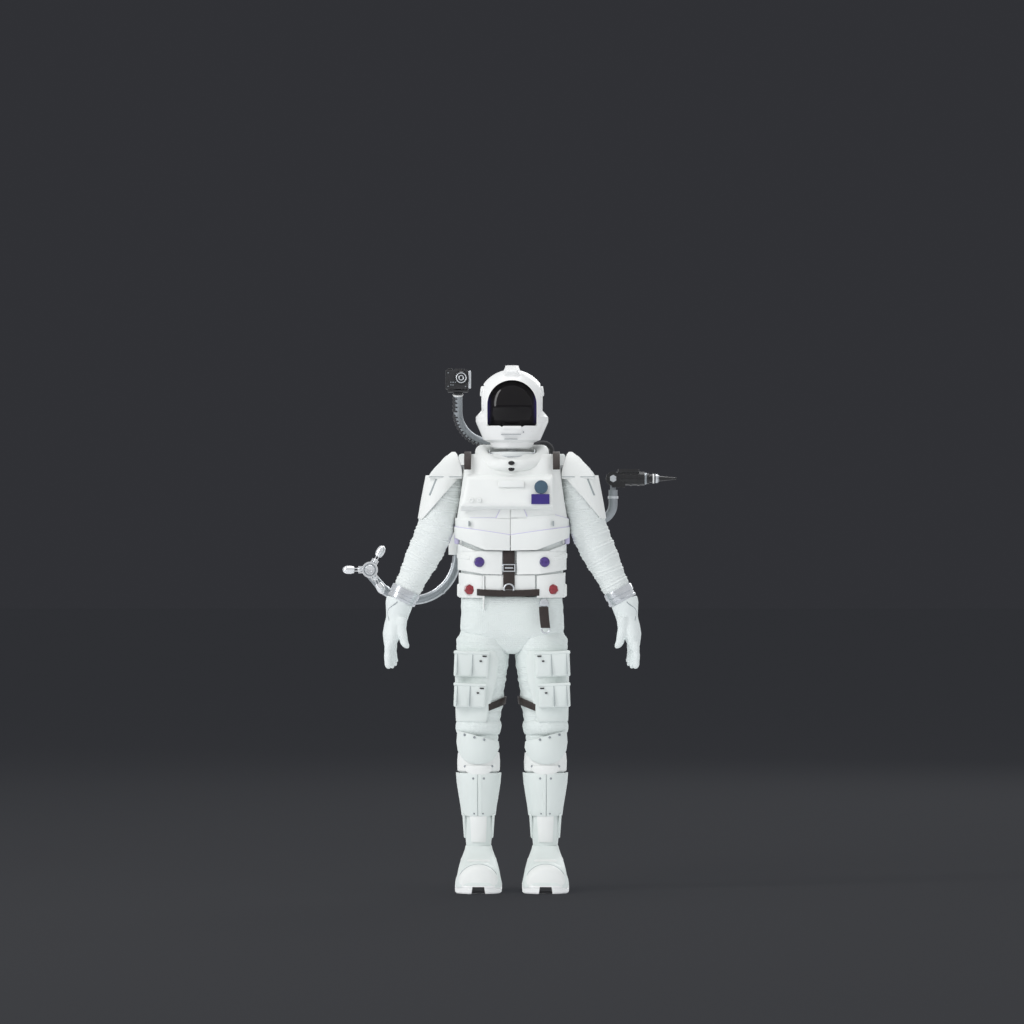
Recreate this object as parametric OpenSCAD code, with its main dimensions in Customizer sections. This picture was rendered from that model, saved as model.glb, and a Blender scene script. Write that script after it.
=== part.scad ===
// Poseable astronaut action figure with a tool-carrying backpack.
// X runs to the figure's left hand, Z is up and the front faces -Y. Millimetres.

/* [Torso] */
// Width of the padded vest
vest_w = 40.8; // [38:0.2:44]
// Depth of the padded vest, front to back
vest_d = 25; // [23:0.2:28]
// Thickness of the vest walls
vest_t = 2.6; // [1.8:0.1:3.2]
// Width of the soft abdomen
waist_w = 36.4; // [34:0.2:38]
// Depth of the soft abdomen
waist_d = 21; // [19:0.2:22]
// Width of the pelvis block
pelvis_w = 37; // [35:0.2:40]
// Depth of the pelvis block
pelvis_d = 18; // [16:0.2:18]
// Height of the waist joint above the ground
waist_z = 127.2; // [124:0.2:130]

/* [Head] */
// Outer radius of the helmet dome
helm_r = 12.7; // [12:0.1:14]
// Half width at which the dome is cut flat for the ear pods
helm_hw = 10.1; // [9.4:0.1:10.6]
// Wall of the dome over the lifted visor
helm_t = 0.9; // [0.7:0.1:1.2]
// Thickness of the visor
visor_t = 0.9; // [0.7:0.1:1.2]
// Height of the visor pivot above the ground
pivot_z = 174.6; // [173:0.1:176]
// Radius of the widest line of the jaw
jaw_r = 13; // [12:0.1:14]
// Radius of the metal neck ring
neck_r = 7.85; // [7:0.05:8.4]

/* [Arms] */
// Sideways distance of the shoulder joint from the middle
shoulder_x = 23; // [22:0.1:25]
// Height of the shoulder joint above the ground
shoulder_z = 151; // [149:0.1:153]
// Radius of the upper arm
arm_r = 6.3; // [5.8:0.1:6.8]
// Radius of the forearm at the wrist
wrist_r = 4.4; // [4:0.1:5]
// Length from shoulder joint to elbow joint
upper_len = 21.4; // [20:0.2:24]
// Length from elbow joint to wrist joint
fore_len = 26.2; // [24:0.2:30]
// Outward lean of the upper arm at rest
upper_lean = 11.5; // [8:0.5:14]
// Outward lean of the forearm at rest
fore_lean = 26; // [22:0.5:30]

/* [Legs] */
// Sideways distance of the hip joint from the middle
hip_x = 10.4; // [10:0.1:11.5]
// Height of the hip joint above the ground
hip_z = 89; // [87:0.2:91]
// Height of the knee joint above the ground
knee_z = 51; // [49:0.2:53]
// Height of the ankle joint above the ground
ankle_z = 14.4; // [13.6:0.1:15.2]
// Outward lean of the thigh at rest
thigh_lean = 2.4; // [1.6:0.1:3.2]
// Radius at the top of the thigh
thigh_r = 9.2; // [8.6:0.1:9.4]
// Radius of the thigh at the knee
knee_r = 7; // [6.6:0.1:7.4]
// Length of the boot sole
sole_l = 35; // [32:0.5:38]
// Width of the boot sole
sole_w = 16.8; // [15:0.2:18]

/* [Backpack] */
// Width of the life support pack
pack_w = 38; // [34:0.5:40]
// Height of the life support pack
pack_h = 38; // [34:0.5:40]
// Thickness of the life support pack
pack_t = 14; // [12:0.5:16]
// Radius of the bent metal arms
tube_r = 1.6; // [1.3:0.1:1.8]

/* [Clearances] */
// Gap around parts that move past each other
move_gap = 0.3; // [0.25:0.05:0.4]
// Radial gap of a running pin in its bore
pin_gap = 0.05; // [0.03:0.01:0.08]

/* [Hidden] */
$fn = 48;
y0 = -2.75;
eps = 0.01;
visor_ro = helm_r - helm_t - move_gap;
visor_ri = visor_ro - visor_t;
face_r = visor_ri - move_gap;
pivot_y = -1;
nod_z = pivot_z - 11.4;
knee_x = hip_x + (hip_z - knee_z) * tan(thigh_lean);
thigh_len = (hip_z - knee_z) / cos(thigh_lean);
core_w = vest_w - 2 * vest_t;
core_d = vest_d - 2 * vest_t;
yoke_w = vest_w - 7.8;
yoke_d = vest_d - 8;
bib_d = yoke_d + 3.4;
pack_y = vest_d / 2 + 0.6;
yoke_top = 157.2;
yoke_low = yoke_top - 5.2;
pack_top = yoke_top - 0.7;
pack_low = pack_top - pack_h;
claw_z = pack_top - 36.3;
root_z = pack_top - 23.5;
lid_z = pack_top - 19.75;
screw_z = [pack_top - 33, pack_top - 6.5];
elbow_x = shoulder_x + upper_len * sin(upper_lean);
elbow_z = shoulder_z - upper_len * cos(upper_lean);
wrist_x = elbow_x + fore_len * sin(fore_lean);
wrist_z = elbow_z - fore_len * cos(fore_lean);
ball_r = 6.5;
cap_ri = ball_r + move_gap;
cap_ro = cap_ri + 0.9;
claw_y = 18.4;
tool_y = 17;
tool_x = 36.6;
tool_z = root_z + 15.2;
hub_x = -51.4;
hub_z = claw_z - 5;
hub_y = claw_y - 0.5;
boom_x = -4.5;
boom_y = 18;
boom_lean = 18;
white = [0.93, 0.94, 0.95];
suit = [0.90, 0.92, 0.92];
grey = [0.62, 0.64, 0.66];
steel = [0.72, 0.73, 0.75];
dark = [0.07, 0.07, 0.08];
brown = [0.17, 0.12, 0.10];
purple = [0.26, 0.17, 0.48];
red = [0.45, 0.06, 0.07];

// ---- shared shapes ----

module rrect(w, d, r) {
    square([w - 2 * r, d], center = true);
    square([w, d - 2 * r], center = true);
    for (sx = [-1, 1])
        for (sy = [-1, 1])
            translate([sx * (w / 2 - r), sy * (d / 2 - r)])
                circle(r = r);
}

module slab(w, d, r, z0, z1) {
    translate([0, 0, z0])
        linear_extrude(z1 - z0)
            rrect(w, d, r);
}

module rod_x(r, x0, x1) {
    translate([x0, 0, 0])
        rotate([0, 90, 0])
            cylinder(r = r, h = x1 - x0);
}

module rod_y(r, y_a, y_b) {
    translate([0, y_b, 0])
        rotate([90, 0, 0])
            cylinder(r = r, h = y_b - y_a);
}

module box(x0, x1, y_a, y_b, z0, z1) {
    translate([x0, y_a, z0])
        cube([x1 - x0, y_b - y_a, z1 - z0]);
}

// Space swept by a limb of radius r that bends about X from angle a0 to a1.
module fan(r, a0, a1, from, len) {
    for (a = [a0 : 15 : a1])
        rotate([a, 0, 0])
            translate([0, 0, -from - len])
                cylinder(r = r, h = len);
}

module placed() {
    translate([0, y0, 0])
        children();
}

// side = -1 is the figure's right, side = 1 the figure's left.
module sided(side) {
    placed()
        mirror([side < 0 ? 1 : 0, 0, 0])
            children();
}

module at_shoulder() {
    translate([shoulder_x, 0, shoulder_z])
        rotate([0, -upper_lean, 0])
            children();
}

module at_elbow() {
    translate([elbow_x, 0, elbow_z])
        rotate([0, -upper_lean, 0])
            children();
}

module at_wrist() {
    translate([wrist_x, 0, wrist_z])
        rotate([0, -fore_lean, 0])
            children();
}

module at_hip() {
    translate([hip_x, 0, hip_z])
        rotate([0, -thigh_lean, 0])
            children();
}

module at_knee() {
    translate([knee_x, 0, knee_z])
        children();
}

// Room beside the chest that the whole arm swings through: a turned shape about the
// swing axis, round at the ball and then opening along the leaning arm.
module arm_space() {
    rr = ball_r + 1 + move_gap;
    d = arm_r + move_gap + 0.1;
    t = sqrt(rr * rr - d * d);
    p = [d * sin(upper_lean) + t * cos(upper_lean), t * sin(upper_lean) - d * cos(upper_lean)];
    a_end = atan2(p[0], -p[1]);
    ro = rr / cos(a_end / 6);
    arc = [for (i = [0 : 2]) [ro * sin(i * a_end / 3), -ro * cos(i * a_end / 3)]];
    far = [[p[0] + 25, p[1] + 25 * tan(upper_lean)], [p[0] + 25, 14], [0, 14]];
    for (side = [0, 1])
        mirror([side, 0, 0])
            translate([shoulder_x, 0, shoulder_z])
                rotate([0, 90, 0])
                    rotate_extrude()
                        polygon(concat(arc, [p], far));
}

// ---- torso ----

module torso_core() {
    color(suit)
    placed()
        difference() {
            union() {
                slab(core_w, core_d, 8, waist_z + move_gap, yoke_low);
                slab(yoke_w, yoke_d, 7, yoke_low, yoke_top);
            }
            arm_space();
            translate([0, 0, yoke_top - 11.2])
                cylinder(r = 2.4, h = 14);
            translate([0, 0, yoke_top - 2.6])
                cylinder(r = neck_r + move_gap, h = 4);
            translate([0, 0, waist_z])
                cylinder(r = 4 + pin_gap, h = 10);
            translate([0, 0, shoulder_z])
                for (side = [0, 1])
                    mirror([side, 0, 0])
                        rod_x(2 + pin_gap, 9, 24);
        }
}

module vest() {
    color(white)
    placed() {
        difference() {
            slab(vest_w, vest_d, 10.5, waist_z + move_gap, yoke_low - 0.4);
            slab(core_w, core_d, 8, waist_z, yoke_low);
            arm_space();
        }
        translate([-2.4, -vest_d / 2 - 1.5, 0])
            difference() {
                box(-9, 9, 0, 1.5, waist_z - 4.8, waist_z + 4);
                box(-10, 10, 0.9, 2, waist_z - 5, waist_z + move_gap);
                for (side = [0, 1])
                    mirror([side, 0, 0])
                        translate([9, -1, waist_z - 2.8])
                            rotate([0, 45, 0])
                                cube([8, 4, 8], center = true);
            }
    }
}

module collar() {
    color(white)
    placed() {
        difference() {
            translate([0, 0, yoke_top + 0.4])
                rotate_extrude()
                    translate([11.1, 0])
                        circle(r = 2.1);
            box(-8, 8, -16, 0, yoke_low - 2, yoke_top + 4.8);
            slab(yoke_w, yoke_d, 7, yoke_low, yoke_top);
            slab(vest_w, vest_d, 10.5, yoke_low - 2, yoke_low - 0.4);
            box(-20, 20, -20, 20, yoke_low - 2, yoke_top - 1.8);
        }
        difference() {
            slab(19, bib_d, 6, yoke_low - 0.4, yoke_low + 2.4);
            slab(yoke_w, yoke_d, 7, yoke_low - 1, yoke_top);
            slab(core_w, core_d, 8, yoke_low - 2, yoke_low);
            box(-20, 20, 0, 20, yoke_low - 2, yoke_top + 4.8);
        }
    }
}

module chest_module() {
    color(white)
    placed() {
        difference() {
            box(-18.2, 14.4, -vest_d / 2 - 4.4, -7, 137, 149);
            slab(vest_w, vest_d, 10.5, 130, 150);
            arm_space();
            translate([0, -vest_d / 2 - 4.4, 137])
                rotate([45, 0, 0])
                    cube([50, 3, 3], center = true);
            for (x = [-18.2, 14.4])
                translate([x, -vest_d / 2 - 4.4, 143])
                    rotate([0, 0, 45])
                        cube([2.4, 2.4, 20], center = true);
            box(-4.6, 2.4, -vest_d / 2 - 5, -vest_d / 2 - 3.8, 139.4, 141.2);
        }
        for (x = [-14, -10.6])
            translate([x, 0, 141])
                rod_y(0.9, -vest_d / 2 - 5, -vest_d / 2 - 4.4);
    }
}

module shoulder_straps() {
    color(brown)
    placed()
        for (side = [-1, 1])
            translate([side * 15.9, 0, 0])
                difference() {
                    union() {
                        box(-1.25, 1.25, -yoke_d / 2 - 0.7, yoke_d / 2 + 0.4, yoke_top, yoke_top + 0.8);
                        box(-1.25, 1.25, -yoke_d / 2 - 0.7, -yoke_d / 2, yoke_low - 0.4, yoke_top);
                        box(-1.25, 1.25, yoke_d / 2, pack_y - 0.1, yoke_low - 0.4, yoke_low + 0.4);
                        box(-1.25, 1.25, yoke_d / 2, yoke_d / 2 + 0.4, yoke_low + 0.4, yoke_top);
                    }
                    translate([-side * 15.9, 0, 0])
                        slab(yoke_w, yoke_d, 7, yoke_low, yoke_top);
                    translate([-side * 15.9, 0, 0])
                        slab(core_w, core_d, 8, yoke_low - 2, yoke_low);
                    translate([-side * 15.9, 0, 0])
                        arm_space();
                }
}

module badges() {
    color(purple)
    placed() {
        translate([10.4, 0, 145.4])
            rod_y(2.4, -vest_d / 2 - 4.8, -vest_d / 2 - 4.4);
        box(6.9, 13.3, -vest_d / 2 - 4.8, -vest_d / 2 - 4.4, 139, 142.4);
        for (z = [yoke_low + 0.4, yoke_low + 1.7])
            translate([0, 0, z])
                rod_y(0.6, -bib_d / 2 - 0.6, -bib_d / 2);
    }
}

// ---- backpack ----

module pack_shell() {
    color(white)
    placed()
        difference() {
            union() {
                translate([0, pack_y + pack_t / 2, pack_low])
                    linear_extrude(pack_h)
                        rrect(pack_w, pack_t, 4);
                box(-12, 12, vest_d / 2, pack_y, pack_top - 26.5, pack_top - 6.5);
                translate([-20, claw_y, claw_z + 0.4])
                    cylinder(r = 3, h = 8);
                box(-20, -17, claw_y - 2, claw_y + 2, claw_z + 0.8, claw_z + 7.8);
                translate([0, tool_y, root_z])
                    rod_x(3, 17, 21.5);
                translate([boom_x, boom_y, pack_top])
                    cylinder(r = 3, h = 0.9);
            }
            box(-14.5, 14.5, pack_y + pack_t - 1, 40, pack_top - 35, pack_top - 4.5);
            translate([-20, claw_y, claw_z - 1.2])
                cylinder(r = tube_r - 0.4 + pin_gap, h = 8);
            translate([0, tool_y, root_z])
                rod_x(tube_r - 0.4 + pin_gap, 14.5, 23);
            translate([boom_x, boom_y, pack_top - 5])
                cylinder(r = tube_r - 0.4 + pin_gap, h = 7);
            translate([boom_x, boom_y, pack_top + 1])
                sphere(r = tube_r + 0.5 + move_gap);
            translate([-20, claw_y, pack_low - 1])
                cylinder(r = tube_r + move_gap, h = 3.1);
            for (x = [-12.5, 12.5])
                for (z = screw_z)
                    translate([x, 0, z])
                        rod_y(0.8, pack_y + pack_t - 5, pack_y + pack_t);
        }
}

module pack_lid() {
    color(suit)
    placed()
        difference() {
            translate([0, pack_y + pack_t - 1, lid_z])
                rotate([-90, 0, 0])
                    linear_extrude(2.2)
                        rrect(28.6, 30.1, 2.5);
            for (x = [-12.5, 12.5])
                for (z = screw_z)
                    translate([x, 0, z]) {
                        rod_y(0.8, pack_y, 40);
                        rod_y(1.4, pack_y + pack_t + 0.4, 40);
                    }
            for (z = [lid_z - 6.75 : 3 : lid_z + 5.25])
                box(-7, 7, pack_y + pack_t + 0.5, 40, z, z + 1.2);
        }
}

module pack_screws() {
    color(steel)
    placed()
        for (x = [-12.5, 12.5])
            for (z = screw_z)
                translate([x, 0, z])
                    difference() {
                        union() {
                            rod_y(0.8, pack_y + pack_t - 5, pack_y + pack_t + 0.4);
                            rod_y(1.4, pack_y + pack_t + 0.4, pack_y + pack_t + 1);
                        }
                        box(-1.2, 1.2, pack_y + pack_t + 0.7, 40, -0.2, 0.2);
                    }
}

module comm_hose() {
    color(dark)
    placed()
        translate([11.2, pack_y + 2.6, pack_top]) {
            translate([0, 0, 1.2])
                rotate([90, 0, 0])
                    rotate_extrude(angle = 180)
                        translate([3.4, 0])
                            circle(r = 0.8);
            for (x = [-3.4, 3.4])
                translate([x, 0, 0])
                    cylinder(r = 0.8, h = 1.2 + eps);
        }
}

// ---- head ----

module neck_ring() {
    color(steel)
    placed() {
        translate([0, 0, 154.9])
            rotate_extrude()
                polygon([[0, 0], [neck_r, 0], [neck_r, 2.2], [neck_r - 0.5, 2.8], [5.4, 2.8],
                    [4.4, 1.2], [0, 1.2]]);
        translate([0, 0, 147])
            cylinder(r = 2.4 - pin_gap, h = 8);
        translate([0, 0, 155])
            cylinder(r = 2, h = nod_z - 156);
        translate([0, 0, nod_z])
            sphere(r = 3.6);
    }
}

module dome(r, hw) {
    translate([0, pivot_y, pivot_z])
        intersection() {
            sphere(r = r);
            cube([2 * hw, 60, 60], center = true);
        }
}

module helmet() {
    color(white)
    placed()
        difference() {
            union() {
                dome(helm_r, helm_hw);
                translate([0, 0, pivot_z])
                    rotate_extrude()
                        polygon([[0, -15.1], [7.5, -15.1], [7.9, -13.6], [10.2, -12.6],
                            [jaw_r, -6.2], [jaw_r, -4.4], [jaw_r - 1.6, -1.6], [0, -1.6]]);
                translate([0, pivot_y, pivot_z])
                    intersection() {
                        rod_x(helm_r + 1.4, -2.4, 2.4);
                        translate([0, 3, 12])
                            cube([6, 17, 12], center = true);
                    }
            }
            // the visor's run, under the dome and down behind the chin
            difference() {
                dome(visor_ro + move_gap, 9.3);
                box(-20, 20, 5.4, 20, 150, 190);
            }
            // the window
            translate([0, 0, pivot_z]) {
                box(-8.8, 8.8, -20, -5, -7.6, 0);
                rod_y(8.8, -20, -5);
            }
            for (side = [0, 1])
                mirror([side, 0, 0])
                    translate([0, pivot_y, pivot_z]) {
                        translate([0, 0, 1.1])
                            rod_x(5.6, helm_hw, 20);
                        rod_x(1.5, 9, 11);
                    }
            translate([0, 0, nod_z - 6])
                cylinder(r = 6.2, h = 6);
            translate([0, 0, nod_z])
                sphere(r = 6.2);
        }
}

module ear_pods() {
    color(suit)
    placed()
        for (side = [0, 1])
            mirror([side, 0, 0])
                translate([0, pivot_y, pivot_z + 1.1]) {
                    rod_x(5.3, helm_hw, helm_hw + 0.9);
                    rod_x(3.4, helm_hw + 0.9, helm_hw + 1.5);
                    translate([0, 0, -1.1])
                        rod_x(1.5, 7.4, helm_hw);
                }
}

module face_shield() {
    color(dark)
    placed()
        difference() {
            union() {
                intersection() {
                    dome(face_r, 7.4);
                    box(-20, 20, -20, 5.4, nod_z + 0.6, 190);
                }
                translate([0, 0, nod_z])
                    sphere(r = 5.9);
            }
            translate([0, 0, nod_z])
                sphere(r = 3.6 + pin_gap);
            translate([0, 0, nod_z - 6])
                cylinder(r1 = 7.4, r2 = 1.6, h = 6);
            box(-20, 20, -20, 20, 150, nod_z - 1.2);
        }
}

module visor() {
    color(dark)
    placed()
        difference() {
            dome(visor_ro, 9);
            dome(visor_ri, 7.9);
            translate([0, pivot_y, pivot_z]) {
                difference() {
                    box(-20, 20, -2.6, 40, -40, 40);
                    rod_x(2.6, -20, 20);
                    box(-20, 20, -2.7, 0, -2.6, 2.6);
                }
                rod_x(1.5 + pin_gap, -20, 20);
                box(-20, 20, -40, 40, -40, -8.3);
                box(-20, 20, -40, 40, 9.6, 40);
            }
        }
}

// ---- arms, drawn for the figure's left and mirrored for the right ----

module shoulder_hub(side) {
    color(grey)
    sided(side)
        translate([shoulder_x, 0, shoulder_z]) {
            sphere(r = 3.6);
            rod_x(2, 10.4 - shoulder_x, -2);
        }
}

module shoulder_cap(side) {
    color(white)
    sided(side)
        translate([shoulder_x, 0, shoulder_z])
            difference() {
                sphere(r = ball_r + 1);
                sphere(r = ball_r);
                box(-20, -1.2, -20, 20, -20, 20);
                box(-20, 20, -20, 20, -20, -2.8);
                rotate([0, -upper_lean, 0])
                    translate([0, 0, -10])
                        cylinder(r = arm_r, h = 10);
            }
}

module upper_arm(side) {
    color(suit)
    sided(side)
        difference() {
            union() {
                translate([shoulder_x, 0, shoulder_z])
                    sphere(r = ball_r);
                at_shoulder()
                    translate([0, 0, 1.2 - upper_len])
                        cylinder(r = arm_r, h = upper_len - 1.2);
                at_elbow() {
                    for (sx = [-1, 1])
                        translate([sx * 5.65, 0, 0]) {
                            rod_x(1.9, -0.45, 0.45);
                            box(-0.45, 0.45, -1.9, 1.9, 0, 3);
                        }
                    rod_x(1.1, -5.6, 5.6);
                }
            }
            translate([shoulder_x, 0, shoulder_z]) {
                sphere(r = 3.6 + pin_gap);
                for (a = [0 : 15 : 60])
                    rotate([0, a, 0])
                        rod_x(2 + move_gap, -9, 0);
            }
            at_elbow()
                difference() {
                    union() {
                        sphere(r = 5.5);
                        fan(arm_r + 0.35, -90, 0, 2, 12);
                    }
                    rod_x(1.1, -9, 9);
                    for (sx = [-1, 1])
                        translate([sx * 5.65, 0, 0]) {
                            rod_x(1.9, -0.45, 0.45);
                            box(-0.45, 0.45, -1.9, 1.9, 0, 8);
                        }
                }
        }
}

module arm_plate(side) {
    color(white)
    sided(side)
        difference() {
            at_shoulder()
                translate([0, 0, -19])
                    cylinder(r = arm_r + 0.9, h = 16.4);
            at_shoulder()
                translate([0, 0, -30])
                    cylinder(r = arm_r, h = 40);
            translate([shoulder_x, 0, shoulder_z])
                sphere(r = ball_r + 1);
            at_shoulder() {
                translate([-4.6, 0, -2.4])
                    rotate([0, 34, 0])
                        box(-30, 30, -20, 20, -30, 0);
                box(-30, -3, -20, 20, -30, 10);
            }
        }
}

module forearm(side) {
    color(suit)
    sided(side) {
        difference() {
            union() {
                difference() {
                    at_wrist()
                        cylinder(r1 = wrist_r, r2 = arm_r - 0.1, h = fore_len + 1);
                    at_elbow()
                        box(-20, 20, -20, 20, -2.3, 30);
                }
                at_elbow() {
                    difference() {
                        sphere(r = 5.2);
                        for (sx = [-1, 1])
                            translate([sx * 15, 0, 0])
                                cube([20.3, 20, 20], center = true);
                    }
                    translate([0, 0, -3])
                        cylinder(r = 4, h = 3);
                }
            }
            at_elbow()
                rod_x(1.1 + pin_gap, -9, 9);
        }
        at_wrist()
            translate([0, 0, -4])
                cylinder(r = 1.8, h = 5);
    }
}

module wrist_cuff(side) {
    color(steel)
    sided(side)
        at_wrist()
            difference() {
                translate([0, 0, -3.6])
                    rotate_extrude()
                        polygon([[0, 0], [4.8, 0], [5.3, 0.5], [5.3, 2.8], [4.8, 3.3], [0, 3.3]]);
                translate([0, 0, -4.2])
                    cylinder(r = 1.8 + pin_gap, h = 6);
            }
}

module digit(r, len) {
    sphere(r = r);
    translate([0, 0, -len])
        cylinder(r = r - eps, h = len);
    translate([0, 0, -len])
        sphere(r = r);
}

module glove(side) {
    color(white)
    sided(side)
        difference() {
            at_wrist()
                translate([0, 0, -3.6])
                    rotate([0, fore_lean - 9.4, 0]) {
                        translate([0, 0, -7.6])
                            cylinder(r1 = 3.9, r2 = 4.7, h = 9);
                        translate([0.6, 0, -13.2])
                            rotate([0, 0, 40])
                                slab(8.4, 5, 2, 0, 8);
                        translate([0.6, 0, -14])
                            rotate([0, 0, 40])
                                for (i = [0 : 3])
                                    translate([-3.15 + 2.1 * i, 0, 1.2])
                                        rotate([-8, 0, 0])
                                            digit(1.15, [7.4, 8.8, 8.2, 6.6][i]);
                        translate([-3.6, -1.8, -7])
                            rotate([8, 10, 0])
                                digit(1.6, 6.6);
                    }
            at_wrist() {
                translate([0, 0, -3.6])
                    cylinder(r = 12, h = 10);
                translate([0, 0, -4.2])
                    cylinder(r = 1.8 + pin_gap, h = 6);
            }
        }
}

// ---- waist and hips ----

module abdomen() {
    color(suit)
    placed()
        difference() {
            slab(waist_w, waist_d, 9, 105.8, waist_z);
            translate([0, 0, waist_z - 8])
                cylinder(r = 4, h = 20);
        }
}

module waist_pin() {
    color(grey)
    placed()
        translate([0, 0, waist_z - 8])
            cylinder(r = 4, h = 17);
}

module hip_flaps() {
    color(white)
    placed()
        difference() {
            slab(waist_w + 2, waist_d + 2, 10, 113.8, waist_z - 1.3);
            slab(waist_w, waist_d, 9, 105.8, waist_z);
            box(-40, 40, -1, 40, 100, 140);
            box(-3.2, 1.4, -40, 40, 100, 140);
        }
}

module knob(x, z, r, h) {
    translate([x, 0, z])
        rod_y(r, -waist_d / 2 - 1 - h, -6);
}

module side_knobs() {
    color(red)
    placed()
        difference() {
            union() {
                knob(-11.7, 118, 1.8, 1.2);
                knob(11.7, 118, 1.8, 1.2);
                knob(-15.1, 108.3, 1.8, 1.4);
                knob(14.8, 108.3, 1.8, 1.4);
            }
            slab(waist_w + 2, waist_d + 2, 10, 113.8, waist_z - 1.3);
            slab(waist_w, waist_d, 9, 105.8, waist_z);
            slab(pelvis_w, pelvis_d, 7, 94.6, 105.8);
        }
}

module centre_strap() {
    color(brown)
    placed() {
        box(-3, 1.2, -waist_d / 2 - 1, -waist_d / 2, 108.7, 122.6);
        difference() {
            slab(waist_w + 1.6, waist_d + 1.6, 9.8, 106.2, 108.7);
            slab(waist_w, waist_d, 9, 105.8, waist_z);
            box(-40, 40, -6, 40, 100, 140);
            box(-40, -12.4, -40, 40, 100, 140);
            box(9.6, 40, -40, 40, 100, 140);
        }
    }
}

module strap_buckles() {
    color(steel)
    placed()
        for (z = [114.8, 108.8])
            translate([-0.9, -waist_d / 2 - 1, z])
                difference() {
                    box(-2.6, 2.6, -0.7, 0, 0, 2.6);
                    box(-1.6, 1.6, -1, 1, 0.7, 1.9);
                }
}

module key_clip() {
    color(white)
    placed()
        difference() {
            box(10, 12.9, -13.8, -8, 102.2, 106);
            slab(waist_w, waist_d, 9, 105.8, waist_z);
            slab(pelvis_w, pelvis_d, 7, 94.6, 105.8);
            box(10.8, 12.1, -20, -11.3, 100, 104.4);
            translate([0, -12.8, 103.2])
                rod_x(0.5, 9, 14);
            box(9, 14, -9.4, 0, 100, 104);
        }
}

module key_strap() {
    color(brown)
    placed()
        difference() {
            union() {
                translate([0, -12.8, 103.2])
                    rod_x(0.95, 10.95, 11.95);
                box(10.95, 11.95, -13.2, -12.4, 101.4, 102.9);
                box(9.8, 13.4, -13.2, -12.4, 94.6, 101.6);
                translate([11.6, 0, 94.4])
                    rod_y(1.7, -13.2, -12.4);
            }
            translate([11.6, 0, 94.1])
                rod_y(0.9, -14, -12);
        }
    color(steel)
    placed()
        translate([0, -12.8, 103.2])
            rod_x(0.5 - pin_gap, 10, 12.9);
}

module thigh_sweep() {
    for (side = [0, 1])
        mirror([side, 0, 0])
            at_hip() {
                sphere(r = thigh_r + move_gap);
                fan(thigh_r + move_gap, -40, 15, 6, 12);
            }
}

module pelvis() {
    color(suit)
    placed()
        difference() {
            union() {
                difference() {
                    slab(pelvis_w, pelvis_d, 7, 94.6, 105.8);
                    difference() {
                        thigh_sweep();
                        box(-3.6, 3.6, -20, 20, 60, 110);
                    }
                }
                translate([0, 0, hip_z])
                    rod_x(5.2, -3.6, 3.6);
                box(-3.6, 3.6, -5.2, 5.2, hip_z, 96);
            }
            translate([0, 0, hip_z])
                for (side = [0, 1])
                    mirror([side, 0, 0])
                        rod_x(2 + pin_gap, 0.5, 5);
        }
}

// ---- legs ----

module hip_hub(side) {
    color(grey)
    sided(side)
        translate([hip_x, 0, hip_z]) {
            sphere(r = 3.8);
            rod_x(2, 0.6 - hip_x, -2);
        }
}

module thigh(side) {
    color(suit)
    sided(side)
        difference() {
            union() {
                difference() {
                    union() {
                        at_hip() {
                            difference() {
                                sphere(r = thigh_r);
                                box(-20, -2, -20, 20, -20, 20);
                            }
                            sphere(r = 6.2);
                            translate([0, 0, 1 - thigh_len])
                                cylinder(r1 = knee_r, r2 = thigh_r - 0.1, h = thigh_len - 6.2);
                        }
                        at_knee()
                            difference() {
                                translate([0, 0, -5])
                                    cylinder(r = knee_r + 2.1, h = 11.6);
                                translate([0, 0, -6])
                                    cylinder(r = knee_r + 0.75, h = 7);
                                box(-20, 20, -3.4, 20, -20, 20);
                            }
                    }
                    at_knee()
                        difference() {
                            union() {
                                sphere(r = 5.9);
                                fan(knee_r + 0.7, 0, 90, 2, 12);
                                box(-20, 20, -6, 20, -10, 1);
                            }
                            difference() {
                                cylinder(r = 20, h = 30, center = true);
                                translate([0, 4, 0])
                                    cylinder(r = 19, h = 31, center = true);
                            }
                        }
                }
                at_knee() {
                    for (sx = [-1, 1])
                        translate([sx * 6.1, 0, 0]) {
                            rod_x(2, -0.5, 0.5);
                            box(-0.5, 0.5, -2, 2, 0, 4);
                        }
                    rod_x(1.3, -6, 6);
                }
            }
            translate([hip_x, 0, hip_z]) {
                sphere(r = 3.8 + pin_gap);
                for (a = [0 : 5 : 30])
                    rotate([0, a, 0])
                        rod_x(2 + move_gap, -14, 0);
            }
        }
}

module pouches(side) {
    color(white)
    sided(side)
        difference() {
            at_hip() {
                translate([-2.4, 0, 0])
                    box(0, 12.4, -thigh_r - 2.4, -2, -12, -2.9);
                translate([-2, 0, 0])
                    box(0, 11.4, -thigh_r - 2.8, -2, -23.4, -14.6);
            }
            at_hip() {
                sphere(r = thigh_r);
                translate([0, 0, 1 - thigh_len])
                    cylinder(r1 = knee_r, r2 = thigh_r - 0.1, h = thigh_len - 6.2);
                cylinder(r = thigh_r, h = 12, center = true);
            }
        }
}

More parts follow.
